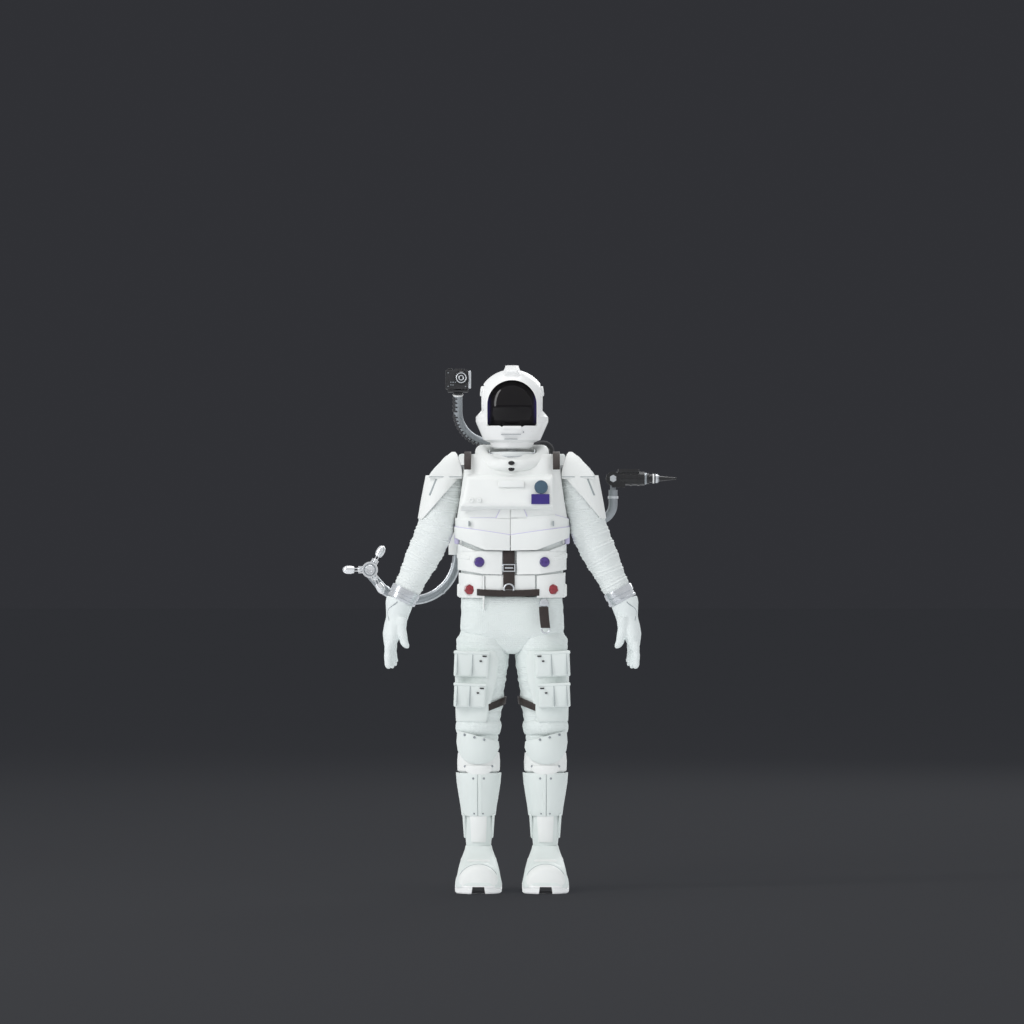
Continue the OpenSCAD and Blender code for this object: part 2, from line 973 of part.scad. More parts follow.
module shin(side) {
    color(suit)
    sided(side)
        difference() {
            union() {
                at_knee() {
                    difference() {
                        sphere(r = 5.7);
                        for (sx = [-1, 1])
                            translate([sx * 15.5, 0, 0])
                                cube([20.4, 20, 20], center = true);
                    }
                    translate([0, 0, -4])
                        cylinder(r = 4.4, h = 4);
                    translate([0, 0, -8.2])
                        cylinder(r = knee_r + 0.4, h = 5.8);
                    translate([0, 0, 27 - knee_z])
                        cylinder(r1 = 4.9, r2 = 6.6, h = knee_z - 27 - 8);
                    translate([0, 0, 18 - knee_z])
                        cylinder(r1 = 4.7, r2 = 5.8, h = 9.1);
                }
                translate([knee_x, 0, ankle_z])
                    sphere(r = 3.7);
                translate([knee_x, 0, ankle_z])
                    cylinder(r1 = 3.2, r2 = 4.4, h = 4);
            }
            at_knee()
                rod_x(1.3 + pin_gap, -9, 9);
        }
}

module shin_guard(side) {
    color(white)
    sided(side)
        at_knee()
            difference() {
                translate([0, 0, 27.2 - knee_z])
                    cylinder(r1 = 5.9, r2 = 7.5, h = knee_z - 27.2 - 8.2);
                translate([0, 0, 27 - knee_z])
                    cylinder(r1 = 4.9, r2 = 6.6, h = knee_z - 27 - 8);
                box(-20, 20, 1.5, 20, -40, 10);
                box(-0.25, 0.25, -20, -6, -40, 10);
            }
}

module foot(side) {
    color(white)
    sided(side)
        translate([knee_x, 0, 0])
            difference() {
                union() {
                    translate([0, 12.2 - sole_l / 2, 0])
                        slab(sole_w, sole_l, 7.5, 0, 3);
                    cylinder(r = 7.2, h = 10);
                    translate([0, 0, 9.9])
                        cylinder(r1 = 7.2, r2 = 5.6, h = ankle_z - 11.6);
                    intersection() {
                        translate([0, 12.2 - sole_l / 2, 0])
                            slab(sole_w - 1.4, sole_l - 1.4, 6.9, 2.9, 12);
                        translate([0, -13.4, 1.8])
                            rod_x(8.6, -10, 10);
                    }
                    intersection() {
                        box(-6.4, 6.4, -16, 0, 3, 13);
                        translate([0, -15, 0])
                            rotate([18, 0, 0])
                                translate([0, 0, -20])
                                    cube([20, 60, 60], center = true);
                    }
                }
                translate([0, 0, ankle_z]) {
                    sphere(r = 3.7 + pin_gap);
                    for (a = [-15, 0, 15])
                        rotate([a, 0, 0])
                            cylinder(r = 4.9, h = 14);
                }
            }
}

// ---- carried tools ----

module camera_boom() {
    color(grey)
    placed()
        translate([boom_x, boom_y, pack_top])
            rotate([boom_lean, 0, 0]) {
                rotate([-boom_lean, 0, 0])
                    translate([0, 0, -4])
                        cylinder(r = tube_r - 0.4, h = 5.4);
                translate([0, 0, 1])
                    sphere(r = tube_r + 0.1);
                translate([-3.3, 0, 1.6])
                    rotate([90, 0, 0])
                        rotate_extrude(angle = 90)
                            translate([3.3, 0])
                                circle(r = tube_r);
                translate([-3.3, 0, 16.6])
                    rotate([90, 0, 0])
                        rotate([0, 0, 180])
                            rotate_extrude(angle = 90)
                                translate([11.7, 0])
                                    circle(r = tube_r);
                translate([-15, 0, 16.6])
                    cylinder(r = tube_r, h = 6.4);
                translate([-15, 0, 22.9])
                    cylinder(r = 1.1, h = 3);
            }
}

module camera() {
    color(dark)
    placed()
        translate([boom_x, boom_y, pack_top])
            rotate([boom_lean, 0, 0])
                translate([-15, 0, 0])
                    difference() {
                        union() {
                            box(-4.6, 4.6, -3.4, 3.4, 24.2, 32);
                            box(-2, 2, -2, 2, 23.3, 24.2);
                            translate([1, 0, 28.6]) {
                                rod_y(2.4, -4.2, -3.4);
                                rod_y(1.6, -4.8, -4.2);
                            }
                            for (x = [-3, -0.6])
                                translate([x, 0, 32])
                                    cylinder(r = 0.7, h = 0.5);
                        }
                        translate([0, 0, 22])
                            cylinder(r = 1.1 + pin_gap, h = 4.2);
                    }
}

module tool_arm() {
    color(steel)
    placed()
        translate([0, tool_y, 0]) {
            translate([0, 0, root_z])
                rod_x(tube_r - 0.4, 15, 22);
            translate([0, 0, root_z])
                rod_x(tube_r, 21.8, tool_x - 6);
            translate([tool_x - 6, 0, root_z + 6])
                rotate([90, 90, 0])
                    rotate_extrude(angle = 90)
                        translate([6, 0])
                            circle(r = tube_r);
            translate([tool_x, 0, root_z + 6])
                cylinder(r = tube_r, h = 5.1);
            translate([tool_x, 0, tool_z]) {
                rod_y(2.3, 0.3, 1.8);
                rod_y(1, -2.6, 0.4);
                box(-1, 1, 0.3, 1.55, -5.2, 0);
            }
        }
}

module tool_body() {
    color(dark)
    placed()
        translate([tool_x, tool_y, tool_z])
            difference() {
                union() {
                    rod_y(2.6, -2.4, 0);
                    rod_x(2.4, 1, 11.4);
                    rod_x(1.9, 11.3, 13);
                    box(2, 9, -1.8, 1.8, 1.4, 2.7);
                    box(-0.4, 4.4, -2.2, 0, -3.2, 0);
                }
                rod_y(1 + pin_gap, -6, 2);
                rod_x(1 + pin_gap, 9, 20);
                box(-4, 2.6, 0, 6, -5, 5);
            }
}

module tool_bit() {
    color(dark)
    placed()
        translate([tool_x, tool_y, tool_z]) {
            rod_x(1, 9.5, 13.4);
            rod_x(1.5, 13.3, 16.4);
            translate([16.3, 0, 0])
                rotate([0, 90, 0])
                    cylinder(r1 = 1, r2 = 0.35, h = 6.6);
        }
}

module claw_arm() {
    color(grey)
    placed()
        translate([-20, claw_y, 0]) {
            translate([0, 0, claw_z - 0.2])
                cylinder(r = tube_r - 0.4, h = 6);
            translate([-16, 0, claw_z])
                rotate([90, 0, 0])
                    rotate([0, 0, -140])
                        rotate_extrude(angle = 140)
                            translate([16, 0])
                                circle(r = tube_r);
            translate([-16 + 16 * cos(140), 0, claw_z - 16 * sin(140)])
                rotate([0, -40, 0])
                    translate([0, 0, -0.3])
                        cylinder(r = tube_r + 0.06, h = 4.9);
            translate([hub_x + 20, 0, hub_z]) {
                rod_y(2.2, -1.2, 1.4);
                rod_y(1, -3.6, -1.1);
            }
        }
}

module claw_hub() {
    color(steel)
    placed()
        translate([hub_x, hub_y, hub_z])
            difference() {
                union() {
                    rod_y(2.8, -3.8, -1.4);
                    rod_y(2, -4.4, -3.8);
                    for (a = [60, 180, 300])
                        rotate([0, -a, 0])
                            for (s = [-1, 1])
                                box(2, 4.2, -3.4, -1.8, s * 1.05 - 0.25, s * 1.05 + 0.25);
                }
                rod_y(1 + pin_gap, -3.65, 0);
                rod_y(1.1, -5, -4.1);
                for (a = [60, 180, 300])
                    rotate([0, -a, 0]) {
                        box(2.4, 4.4, -5, 0, -0.8, 0.8);
                        translate([3.5, -2.6, -2])
                            cylinder(r = 0.35 + pin_gap, h = 4);
                    }
            }
}

module claw_finger(a) {
    color(steel)
    placed()
        translate([hub_x, hub_y, hub_z])
            rotate([0, -a, 0])
                translate([3.5, -2.6, 0]) {
                    translate([0, 0, -0.65])
                        cylinder(r = 0.8, h = 1.3);
                    for (z = [-0.65, 0.3])
                        box(0, 4.4, -0.4, 0.4, z, z + 0.35);
                    box(3.6, 5.2, -0.85, 0.85, -1.1, 1.1);
                    translate([5, 0, -1.1])
                        cylinder(r = 0.9, h = 2.2);
                    translate([0, 0, -1.3])
                        cylinder(r = 0.35, h = 2.6);
                }
}

torso_core();
vest();
collar();
chest_module();
shoulder_straps();
badges();
pack_shell();
pack_lid();
pack_screws();
comm_hose();
neck_ring();
helmet();
ear_pods();
face_shield();
visor();
shoulder_hub(-1);  // shoulder_hub_r
shoulder_hub(1);  // shoulder_hub_l
shoulder_cap(-1);  // shoulder_cap_r
shoulder_cap(1);  // shoulder_cap_l
upper_arm(-1);  // upper_arm_r
upper_arm(1);  // upper_arm_l
arm_plate(-1);  // arm_plate_r
arm_plate(1);  // arm_plate_l
forearm(-1);  // forearm_r
forearm(1);  // forearm_l
wrist_cuff(-1);  // wrist_cuff_r
wrist_cuff(1);  // wrist_cuff_l
glove(-1);  // glove_r
glove(1);  // glove_l
abdomen();
hip_flaps();
side_knobs();
centre_strap();
strap_buckles();
key_clip();
waist_pin();
pelvis();
key_strap();
hip_hub(-1);  // hip_hub_r
hip_hub(1);  // hip_hub_l
thigh(-1);  // thigh_r
thigh(1);  // thigh_l
pouches(-1);  // pouches_r
pouches(1);  // pouches_l
shin(-1);  // shin_r
shin(1);  // shin_l
shin_guard(-1);  // shin_guard_r
shin_guard(1);  // shin_guard_l
foot(-1);  // foot_r
foot(1);  // foot_l
camera_boom();
camera();
tool_arm();
tool_body();
tool_bit();
claw_arm();
claw_hub();
claw_finger(60);  // claw_finger_a
claw_finger(180);  // claw_finger_b
claw_finger(300);  // claw_finger_c
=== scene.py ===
# %% [markdown]
# # A poseable astronaut figure
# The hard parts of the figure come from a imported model, which is loaded first and never moved.
# Everything made here is dressed over it: soft sleeves, moulded armour, straps and tools.
# Sizes are written in millimetres and turned into metres where a mesh is made.

import bpy
import math
from mathutils import Matrix, Vector


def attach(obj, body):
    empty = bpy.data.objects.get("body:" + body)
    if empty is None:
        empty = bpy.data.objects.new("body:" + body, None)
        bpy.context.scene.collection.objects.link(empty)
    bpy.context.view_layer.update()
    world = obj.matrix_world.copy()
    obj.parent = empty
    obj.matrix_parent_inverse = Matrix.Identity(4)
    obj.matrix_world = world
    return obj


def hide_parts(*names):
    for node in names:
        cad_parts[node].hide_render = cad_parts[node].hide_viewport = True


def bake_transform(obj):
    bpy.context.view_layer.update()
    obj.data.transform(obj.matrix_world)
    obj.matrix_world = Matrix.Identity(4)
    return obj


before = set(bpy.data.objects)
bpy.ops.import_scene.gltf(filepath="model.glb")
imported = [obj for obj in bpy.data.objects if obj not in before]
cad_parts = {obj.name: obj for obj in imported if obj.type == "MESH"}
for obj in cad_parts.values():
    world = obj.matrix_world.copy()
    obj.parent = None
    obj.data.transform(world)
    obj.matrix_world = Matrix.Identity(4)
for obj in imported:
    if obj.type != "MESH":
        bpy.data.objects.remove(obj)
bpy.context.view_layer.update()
MM = 0.001
FRONT_SHIFT = -2.75

# %% [markdown]
# ## Small helpers
# A mesh is shaped the way it is by hand: a primitive is added, its faces are picked by place or
# normal, and extrude, inset and bevel do the rest. The helpers keep the steps short.

# %% Selection and naming
def at(x, y, z):
    """A point of the figure, in millimetres, as a place in the scene."""
    return Vector((x, y + FRONT_SHIFT, z)) * MM


def clear():
    if bpy.context.object and bpy.context.object.mode != "OBJECT":
        bpy.ops.object.mode_set(mode="OBJECT")
    bpy.ops.object.select_all(action="DESELECT")


def pick(piece, test=None, kind="FACE"):
    """Go into edit mode with the faces (or edges, or points) that pass the test."""
    clear()
    piece.select_set(True)
    bpy.context.view_layer.objects.active = piece
    bpy.ops.object.mode_set(mode="EDIT")
    bpy.ops.mesh.select_mode(type=kind)
    bpy.ops.mesh.select_all(action="SELECT" if test is None else "DESELECT")
    if test is None:
        return
    bpy.ops.object.mode_set(mode="OBJECT")
    if kind == "FACE":
        for face in piece.data.polygons:
            face.select = bool(test(face.center, face.normal))
    else:
        points = piece.data.vertices
        if kind == "VERT":
            for point in points:
                point.select = bool(test(point.co))
        else:
            for edge in piece.data.edges:
                a, b = (points[i].co for i in edge.vertices)
                edge.select = bool(test((a + b) / 2, (b - a).normalized()))
    bpy.ops.object.mode_set(mode="EDIT")


def done(piece, smooth=35):
    """Leave edit mode with outward faces, and shade the gentle angles smooth."""
    pick(piece)
    bpy.ops.mesh.remove_doubles(threshold=1e-6)
    bpy.ops.mesh.normals_make_consistent(inside=False)
    bpy.ops.object.mode_set(mode="OBJECT")
    if smooth:
        bpy.ops.object.shade_smooth_by_angle(angle=math.radians(smooth))
    clear()
    return piece


def modify(piece, kind, **settings):
    """Add a modifier and apply it."""
    clear()
    piece.select_set(True)
    bpy.context.view_layer.objects.active = piece
    modifier = piece.modifiers.new(kind, kind)
    for key, value in settings.items():
        setattr(modifier, key, value)
    bpy.ops.object.modifier_apply(modifier=modifier.name)
    return piece


def soften(piece, width, segments=2, angle=30):
    return modify(piece, "BEVEL", width=width * MM, segments=segments, limit_method="ANGLE",
                  angle_limit=math.radians(angle), harden_normals=False)


def place(piece, matrix):
    """Move a piece made at the origin to its place and bake the place into its mesh."""
    clear()
    piece.matrix_world = matrix
    piece.select_set(True)
    bpy.context.view_layer.objects.active = piece
    bpy.ops.object.transform_apply(location=True, rotation=True, scale=True)
    return piece


def join(pieces, name):
    clear()
    for piece in pieces:
        piece.select_set(True)
    bpy.context.view_layer.objects.active = pieces[0]
    if len(pieces) > 1:
        bpy.ops.object.join()
    piece = bpy.context.object
    piece.name = piece.data.name = name
    clear()
    return piece


def twin(piece, name):
    """A mirrored copy for the other side of the figure, with its own mesh."""
    clear()
    piece.select_set(True)
    bpy.context.view_layer.objects.active = piece
    bpy.ops.object.duplicate()
    copy = bpy.context.object
    copy.name = copy.data.name = name
    place(copy, Matrix.Scale(-1, 4, (1, 0, 0)))
    return done(copy, 0)


print("helpers ready")

# %% [markdown]
# ## Primitives
# Three starts are enough: a box with rounded sides, a disc and a loft. The loft is a closed
# outline that is extruded from ring to ring, and each ring is moved, scaled and tilted in turn.

# %% Box, disc and loft
def block(name, low, high, edge=0.0, segments=2):
    clear()
    low, high = at(*low), at(*high)
    bpy.ops.mesh.primitive_cube_add(size=1, location=(low + high) / 2)
    piece = bpy.context.object
    piece.name = piece.data.name = name
    piece.scale = high - low
    bpy.ops.object.transform_apply(location=True, rotation=True, scale=True)
    if edge:
        pick(piece)
        bpy.ops.mesh.bevel(offset=edge * MM, segments=segments, affect="EDGES")
        bpy.ops.object.mode_set(mode="OBJECT")
    return piece


def disc(name, centre, axis, rings, points=32):
    """A turned piece: rings are (distance along the axis, radius) pairs."""
    clear()
    bpy.ops.mesh.primitive_circle_add(vertices=points, radius=rings[0][1] * MM, fill_type="NGON",
                                      location=(0, 0, rings[0][0] * MM))
    piece = bpy.context.object
    piece.name = piece.data.name = name
    bpy.ops.object.transform_apply(location=True)
    pick(piece)
    for (z0, r0), (z1, r1) in zip(rings, rings[1:]):
        bpy.ops.mesh.extrude_region_move(TRANSFORM_OT_translate={"value": (0, 0, (z1 - z0) * MM)})
        if abs(r1 - r0) > 1e-6:
            k = r1 / r0
            bpy.ops.transform.resize(value=(k, k, 1), center_override=(0, 0, z1 * MM))
    turn = Vector((0, 0, 1)).rotation_difference(Vector(axis)).to_matrix().to_4x4()
    bpy.ops.object.mode_set(mode="OBJECT")
    place(piece, Matrix.Translation(at(*centre)) @ turn)
    return done(piece)


def loft(name, rings, points=40, corner=None, origin=(0, 0, 0)):
    """Extrude an outline through rings of (x, y, z, width, depth, tilt about Y in degrees)."""
    clear()
    x, y, z, w, d, tilt = rings[0]
    if corner is None:
        bpy.ops.mesh.primitive_circle_add(vertices=points, radius=0.5, fill_type="NGON")
    else:
        bpy.ops.mesh.primitive_plane_add(size=1)
    piece = bpy.context.object
    piece.name = piece.data.name = name
    piece.scale = (w * MM, d * MM, 1)
    bpy.ops.object.transform_apply(scale=True)
    pick(piece)
    if corner is not None:
        bpy.ops.mesh.bevel(offset=corner * MM, segments=points // 4, affect="VERTICES")
        bpy.ops.mesh.select_all(action="SELECT")
    bpy.ops.transform.translate(value=(x * MM, y * MM, z * MM))
    if tilt:
        bpy.ops.transform.rotate(value=math.radians(-tilt), orient_axis="Y",
                                 center_override=(x * MM, y * MM, z * MM))
    for before, now in zip(rings, rings[1:]):
        move = Vector(now[:3]) - Vector(before[:3])
        bpy.ops.mesh.extrude_region_move(TRANSFORM_OT_translate={"value": move * MM})
        middle = Vector(now[:3]) * MM
        if abs(now[3] - before[3]) > 1e-6 or abs(now[4] - before[4]) > 1e-6:
            kx, ky = now[3] / before[3], now[4] / before[4]
            bpy.ops.transform.resize(value=(kx, ky, kx if now[5] else 1), center_override=middle)
        if now[5] != before[5]:
            bpy.ops.transform.rotate(value=math.radians(before[5] - now[5]), orient_axis="Y",
                                     center_override=middle)
    bpy.ops.object.mode_set(mode="OBJECT")
    place(piece, Matrix.Translation(at(*origin)))
    return done(piece)


print("primitives ready")

# %% [markdown]
# ## Materials
# Each finish is a node material on Object coordinates, so it stays still when the figure moves.
# A small class wraps a socket, so that shader maths can be written as ordinary expressions.

# %% Shader expressions
class Value:
    """A number that varies over a surface. Ordinary operators add Math nodes."""

    def __init__(self, paint, socket):
        self.paint, self.socket = paint, socket

    def math(self, operation, a, b=None):
        inputs = {0: a} if b is None else {0: a, 1: b}
        return Value(self.paint, self.paint.node("ShaderNodeMath", {"operation": operation},
                                                 inputs).outputs[0])

    def __add__(self, other):
        return self.math("ADD", self, other)

    def __sub__(self, other):
        return self.math("SUBTRACT", self, other)

    def __rsub__(self, other):
        return self.math("SUBTRACT", other, self)

    def __mul__(self, other):
        return self.math("MULTIPLY", self, other)

    def __gt__(self, other):
        return self.math("GREATER_THAN", self, other)

    def __lt__(self, other):
        return self.math("LESS_THAN", self, other)

    def sin(self):
        return self.math("SINE", self)

    def abs(self):
        return self.math("ABSOLUTE", self)

    __radd__ = __add__
    __rmul__ = __mul__


class Paint:
    """One node material with a Principled shader at its end."""

    def __init__(self, name, **constants):
        self.material = bpy.data.materials.new(name)
        self.material.use_nodes = True
        self.tree = self.material.node_tree
        self.shader = self.tree.nodes["Principled BSDF"]
        for key, value in constants.items():
            socket = self.shader.inputs[key.replace("_", " ")]
            socket.default_value = (*value, 1) if isinstance(value, tuple) else value

    def node(self, kind, settings=None, inputs=None):
        node = self.tree.nodes.new(kind)
        for key, value in (settings or {}).items():
            if key == "stops":
                ramp = node.color_ramp
                while len(ramp.elements) < len(value):
                    ramp.elements.new(0.5)
                for element, (place_at, colour) in zip(ramp.elements, value):
                    element.position = place_at
                    element.color = (*colour, 1)
            else:
                setattr(node, key, value)
        for key, value in (inputs or {}).items():
            socket = node.inputs[key]
            value = value.socket if isinstance(value, Value) else value
            if isinstance(value, bpy.types.NodeSocket):
                self.tree.links.new(value, socket)
            else:
                socket.default_value = value
        return node

    def where(self):
        return self.node("ShaderNodeTexCoord").outputs["Object"]

    def axis(self, letter):
        split = self.node("ShaderNodeSeparateXYZ", None, {0: self.where()})
        return Value(self, split.outputs[letter]) * 1000

    def noise(self, scale, detail=3.0, stretch=None):
        place_in = self.where()
        if stretch:
            place_in = self.node("ShaderNodeMapping", None,
                                 {"Vector": place_in, "Scale": stretch}).outputs[0]
        made = self.node("ShaderNodeTexNoise", None,
                         {"Vector": place_in, "Scale": scale, "Detail": detail})
        return Value(self, made.outputs["Fac"])

    def cells(self, scale):
        made = self.node("ShaderNodeTexVoronoi", None, {"Vector": self.where(), "Scale": scale})
        return Value(self, made.outputs["Distance"])

    def mix(self, factor, first, second):
        made = self.node("ShaderNodeMix", {"data_type": "RGBA"}, {
            0: factor, 6: (*first, 1) if isinstance(first, tuple) else first,
            7: (*second, 1) if isinstance(second, tuple) else second})
        return made.outputs[2]

    def colour(self, socket):
        self.tree.links.new(socket, self.shader.inputs["Base Color"])
        return self

    def rough(self, value):
        self.tree.links.new(value.socket, self.shader.inputs["Roughness"])
        return self

    def bump(self, height, strength, depth=0.1):
        made = self.node("ShaderNodeBump", None, {"Height": height, "Strength": strength,
                                                  "Distance": depth * MM})
        self.tree.links.new(made.outputs[0], self.shader.inputs["Normal"])
        return self


print("shader expressions ready")

# %% [markdown]
# The suit is a tight woven cloth: two fine thread waves crossed, a little mottling, and a soft
# sheen. The armour is satin moulded plastic, which is smooth with a faint, fine orange peel.

# %% Cloth, armour and helmet finishes
def cloth(name, light, shade, thread=9.0):
    paint = Paint(name, Roughness=0.78, Sheen_Weight=0.15)
    x, y, z = (paint.axis(letter) for letter in "XYZ")
    weave = (z * thread).sin() * 0.5 + ((x + y) * thread).sin() * 0.5
    crease = paint.noise(260, 2, (1, 1, 2.6))
    mottle = paint.noise(90, 4)
    paint.colour(paint.mix(mottle, shade, light))
    return paint.bump(weave * 0.25 + crease * 1.6, 0.55, 0.35).material


def moulded(name, light, shade, roughness=0.42, coat=0.0):
    paint = Paint(name, Coat_Weight=coat, Coat_Roughness=0.12)
    mottle = paint.noise(70, 3)
    paint.colour(paint.mix(mottle, shade, light))
    paint.rough(paint.noise(900, 2) * 0.14 + (roughness - 0.07))
    return paint.bump(paint.noise(2400, 2), 0.12, 0.05).material


SUIT = cloth("suit_cloth", (0.835, 0.872, 0.862), (0.745, 0.788, 0.778))
SUIT_LEG = cloth("suit_cloth_legs", (0.81, 0.86, 0.845), (0.71, 0.77, 0.755))
VEST = moulded("vest_white", (0.86, 0.875, 0.86), (0.80, 0.82, 0.805), 0.5)
ARMOUR = moulded("armour_white", (0.77, 0.82, 0.80), (0.70, 0.755, 0.735), 0.46)
SHELL = moulded("helmet_white", (0.88, 0.885, 0.88), (0.84, 0.85, 0.845), 0.3, 0.3)
GLOVE = moulded("glove_rubber", (0.81, 0.855, 0.85), (0.74, 0.79, 0.785), 0.6)
SEAM = moulded("seam_grey", (0.38, 0.42, 0.43), (0.30, 0.34, 0.35), 0.7)
LILAC = moulded("lilac_edge", (0.66, 0.62, 0.82), (0.56, 0.52, 0.74), 0.5)

# %% [markdown]
# The dark parts differ mostly in gloss: the visor is a deep mirror, the camera and the driver are
# textured black plastic, and the straps are brown leather with a fine grain of cells.

# %% Dark finishes
def leather(name, light, dark):
    paint = Paint(name)
    grain = paint.cells(2600)
    paint.colour(paint.mix(paint.noise(300, 4), dark, light))
    paint.rough(grain * 0.25 + 0.45)
    return paint.bump(grain, 0.5, 0.12).material


def black(name, tone=0.012, roughness=0.36, grain=0.3):
    paint = Paint(name)
    paint.colour(paint.mix(paint.noise(200, 3), (tone, tone, tone * 1.1),
                           (tone * 2.2, tone * 2.2, tone * 2.5)))
    paint.rough(paint.noise(1800, 2) * 0.2 + (roughness - 0.1))
    return paint.bump(paint.noise(4200, 2), grain, 0.06).material


def visor_finish():
    paint = Paint("visor_mirror", Coat_Weight=0.3, Coat_Roughness=0.03, Specular_IOR_Level=0.1)
    side = paint.axis("X").abs() * 0.118
    paint.colour(paint.mix(side.math("POWER", side, 26.0), (0.004, 0.003, 0.004),
                           (0.09, 0.075, 0.26)))
    paint.rough(paint.noise(60, 2) * 0.05 + 0.05)
    return paint.material


LEATHER = leather("strap_leather", (0.034, 0.023, 0.02), (0.017, 0.012, 0.011))
BLACK = black("camera_black")
GLOSS_BLACK = black("driver_black", 0.006, 0.22, 0.12)
# Black rubber for the hose and the tread; on the boom's ribbed half the same black is painted
# shade.
RUBBER_AND_BOOM_SHADE = black("hose_rubber", 0.02, 0.6)
VISOR = visor_finish()
INNER = black("inner_black", 0.004, 0.7)
NECK = moulded("neck_white", (0.80, 0.825, 0.82), (0.72, 0.75, 0.745), 0.5)

# %% [markdown]
# Metal is drawn with fine lines along its length and a varying roughness. The knobs are glassy
# coloured plastic, and the two patches are woven with a raised border.

# %% Metals and colours
def metal(name, light, dark, roughness=0.28, brush=(1, 1, 26)):
    paint = Paint(name, Metallic=1.0)
    lines = paint.noise(700, 4, brush)
    paint.colour(paint.mix(lines, dark, light))
    paint.rough(lines * 0.22 + (roughness - 0.1))
    return paint.bump(lines, 0.15, 0.03).material


def gem(name, light, dark):
    paint = Paint(name, Roughness=0.14, Coat_Weight=0.6)
    return paint.colour(paint.mix(paint.cells(900), dark, light)).material


STEEL = metal("bright_steel", (0.80, 0.82, 0.84), (0.50, 0.53, 0.56))
# Dull grey metal for the booms, arms and rivets; in the claw hub its darker ring is painted shade.
DULL_METAL_AND_HUB_SHADE = metal("grey_metal", (0.48, 0.51, 0.53), (0.18, 0.20, 0.22), 0.36, (26, 1, 1))
CHROME = metal("claw_chrome", (0.95, 0.96, 0.97), (0.78, 0.80, 0.82), 0.14)
RED = gem("knob_red", (0.34, 0.018, 0.03), (0.16, 0.008, 0.015))
PURPLE = gem("knob_purple", (0.075, 0.03, 0.26), (0.03, 0.012, 0.12))
BADGE = cloth("badge_purple", (0.05, 0.03, 0.24), (0.03, 0.018, 0.16), 16)
TEAL = cloth("badge_teal", (0.09, 0.15, 0.21), (0.04, 0.08, 0.12), 16)
GREY = moulded("joint_grey", (0.42, 0.44, 0.46), (0.34, 0.36, 0.38))
print("materials", len(bpy.data.materials))

# %% [markdown]
# ## Dress the parts of the frame
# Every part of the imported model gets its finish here. Many are covered or replaced further down.

# %% Finish of each node
FINISH = {
    SUIT: ["torso_core", "abdomen", "upper_arm", "forearm"],
    SUIT_LEG: ["pelvis", "thigh", "shin"],
    VEST: ["vest", "collar", "chest_module", "hip_flaps", "pack_shell", "pack_lid", "key_clip",
           "shoulder_cap", "arm_plate"],
    ARMOUR: ["pouches", "shin_guard", "foot"],
    SHELL: ["helmet", "ear_pods"],
    GLOVE: ["glove"],
    VISOR: ["visor"],
    NECK: ["neck_ring"],
    INNER: ["face_shield"],
    LEATHER: ["shoulder_straps", "centre_strap", "key_strap"],
    BADGE: ["badges"],
    RED: ["side_knobs"],
    STEEL: ["strap_buckles", "pack_screws", "wrist_cuff"],
    RUBBER_AND_BOOM_SHADE: ["comm_hose"],
    BLACK: ["camera"],
    GLOSS_BLACK: ["tool_body", "tool_bit"],
    DULL_METAL_AND_HUB_SHADE: ["camera_boom", "claw_arm", "tool_arm"],
    CHROME: ["claw_hub", "claw_finger"],
    GREY: ["waist_pin", "shoulder_hub", "hip_hub"],
}
for finish, names in FINISH.items():
    for node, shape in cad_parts.items():
        if node in names or node.rsplit("_", 1)[0] in names:
            shape.data.materials.clear()
            shape.data.materials.append(finish)


def dress(piece, finish, body, slot=None, instead=()):
    """Give a piece its finish and say which body it moves with."""
    piece.data.materials.clear()
    piece.data.materials.append(finish)
    if body:
        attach(piece, body)
    if instead:
        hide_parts(*instead)
    return piece


print("finishes", len(FINISH))

# %% [markdown]
# ## Panels, ribbons and cuts
# Three more helpers do most of the trim. A panel is a copy of a skin that is cut along planes and
# given a thickness, so it hugs the shape below it. A ribbon is an edge that is extruded along a
# path. A cut takes one closed shape out of another.

# %% Panel, ribbon and cut
def copy_of(piece, name):
    clear()
    piece.select_set(True)
    bpy.context.view_layer.objects.active = piece
    bpy.ops.object.duplicate()
    copy = bpy.context.object
    copy.name = copy.data.name = name
    return copy


def drop(piece):
    bpy.data.objects.remove(piece, do_unlink=True)


def slice_off(piece, planes):
    """Cut away what lies beyond each (point, direction) plane, both in figure millimetres."""
    for point, direction in planes:
        pick(piece)
        bpy.ops.mesh.bisect(plane_co=at(*point), plane_no=Vector(direction).normalized(),
                            clear_outer=True, threshold=1e-7)
        bpy.ops.object.mode_set(mode="OBJECT")
    return piece


def outline(*corners):
    """Planes that keep what is inside a convex outline of (x, z) corners, seen from the front."""
    planes = []
    for (x0, z0), (x1, z1) in zip(corners, corners[1:] + corners[:1]):
        planes.append(((x0, 0, z0), (z1 - z0, 0, x0 - x1)))
    return planes


def panel(skin, name, planes, thick, edge=0.15, lift=0.0):
    """A raised plate that follows a skin."""
    plate = slice_off(copy_of(skin, name), planes)
    if lift:
        pick(plate)
        bpy.ops.transform.shrink_fatten(value=lift * MM)
        bpy.ops.object.mode_set(mode="OBJECT")
    modify(plate, "SOLIDIFY", thickness=thick * MM, offset=1.0)
    if edge:
        soften(plate, edge, 2, 50)
    return done(plate)


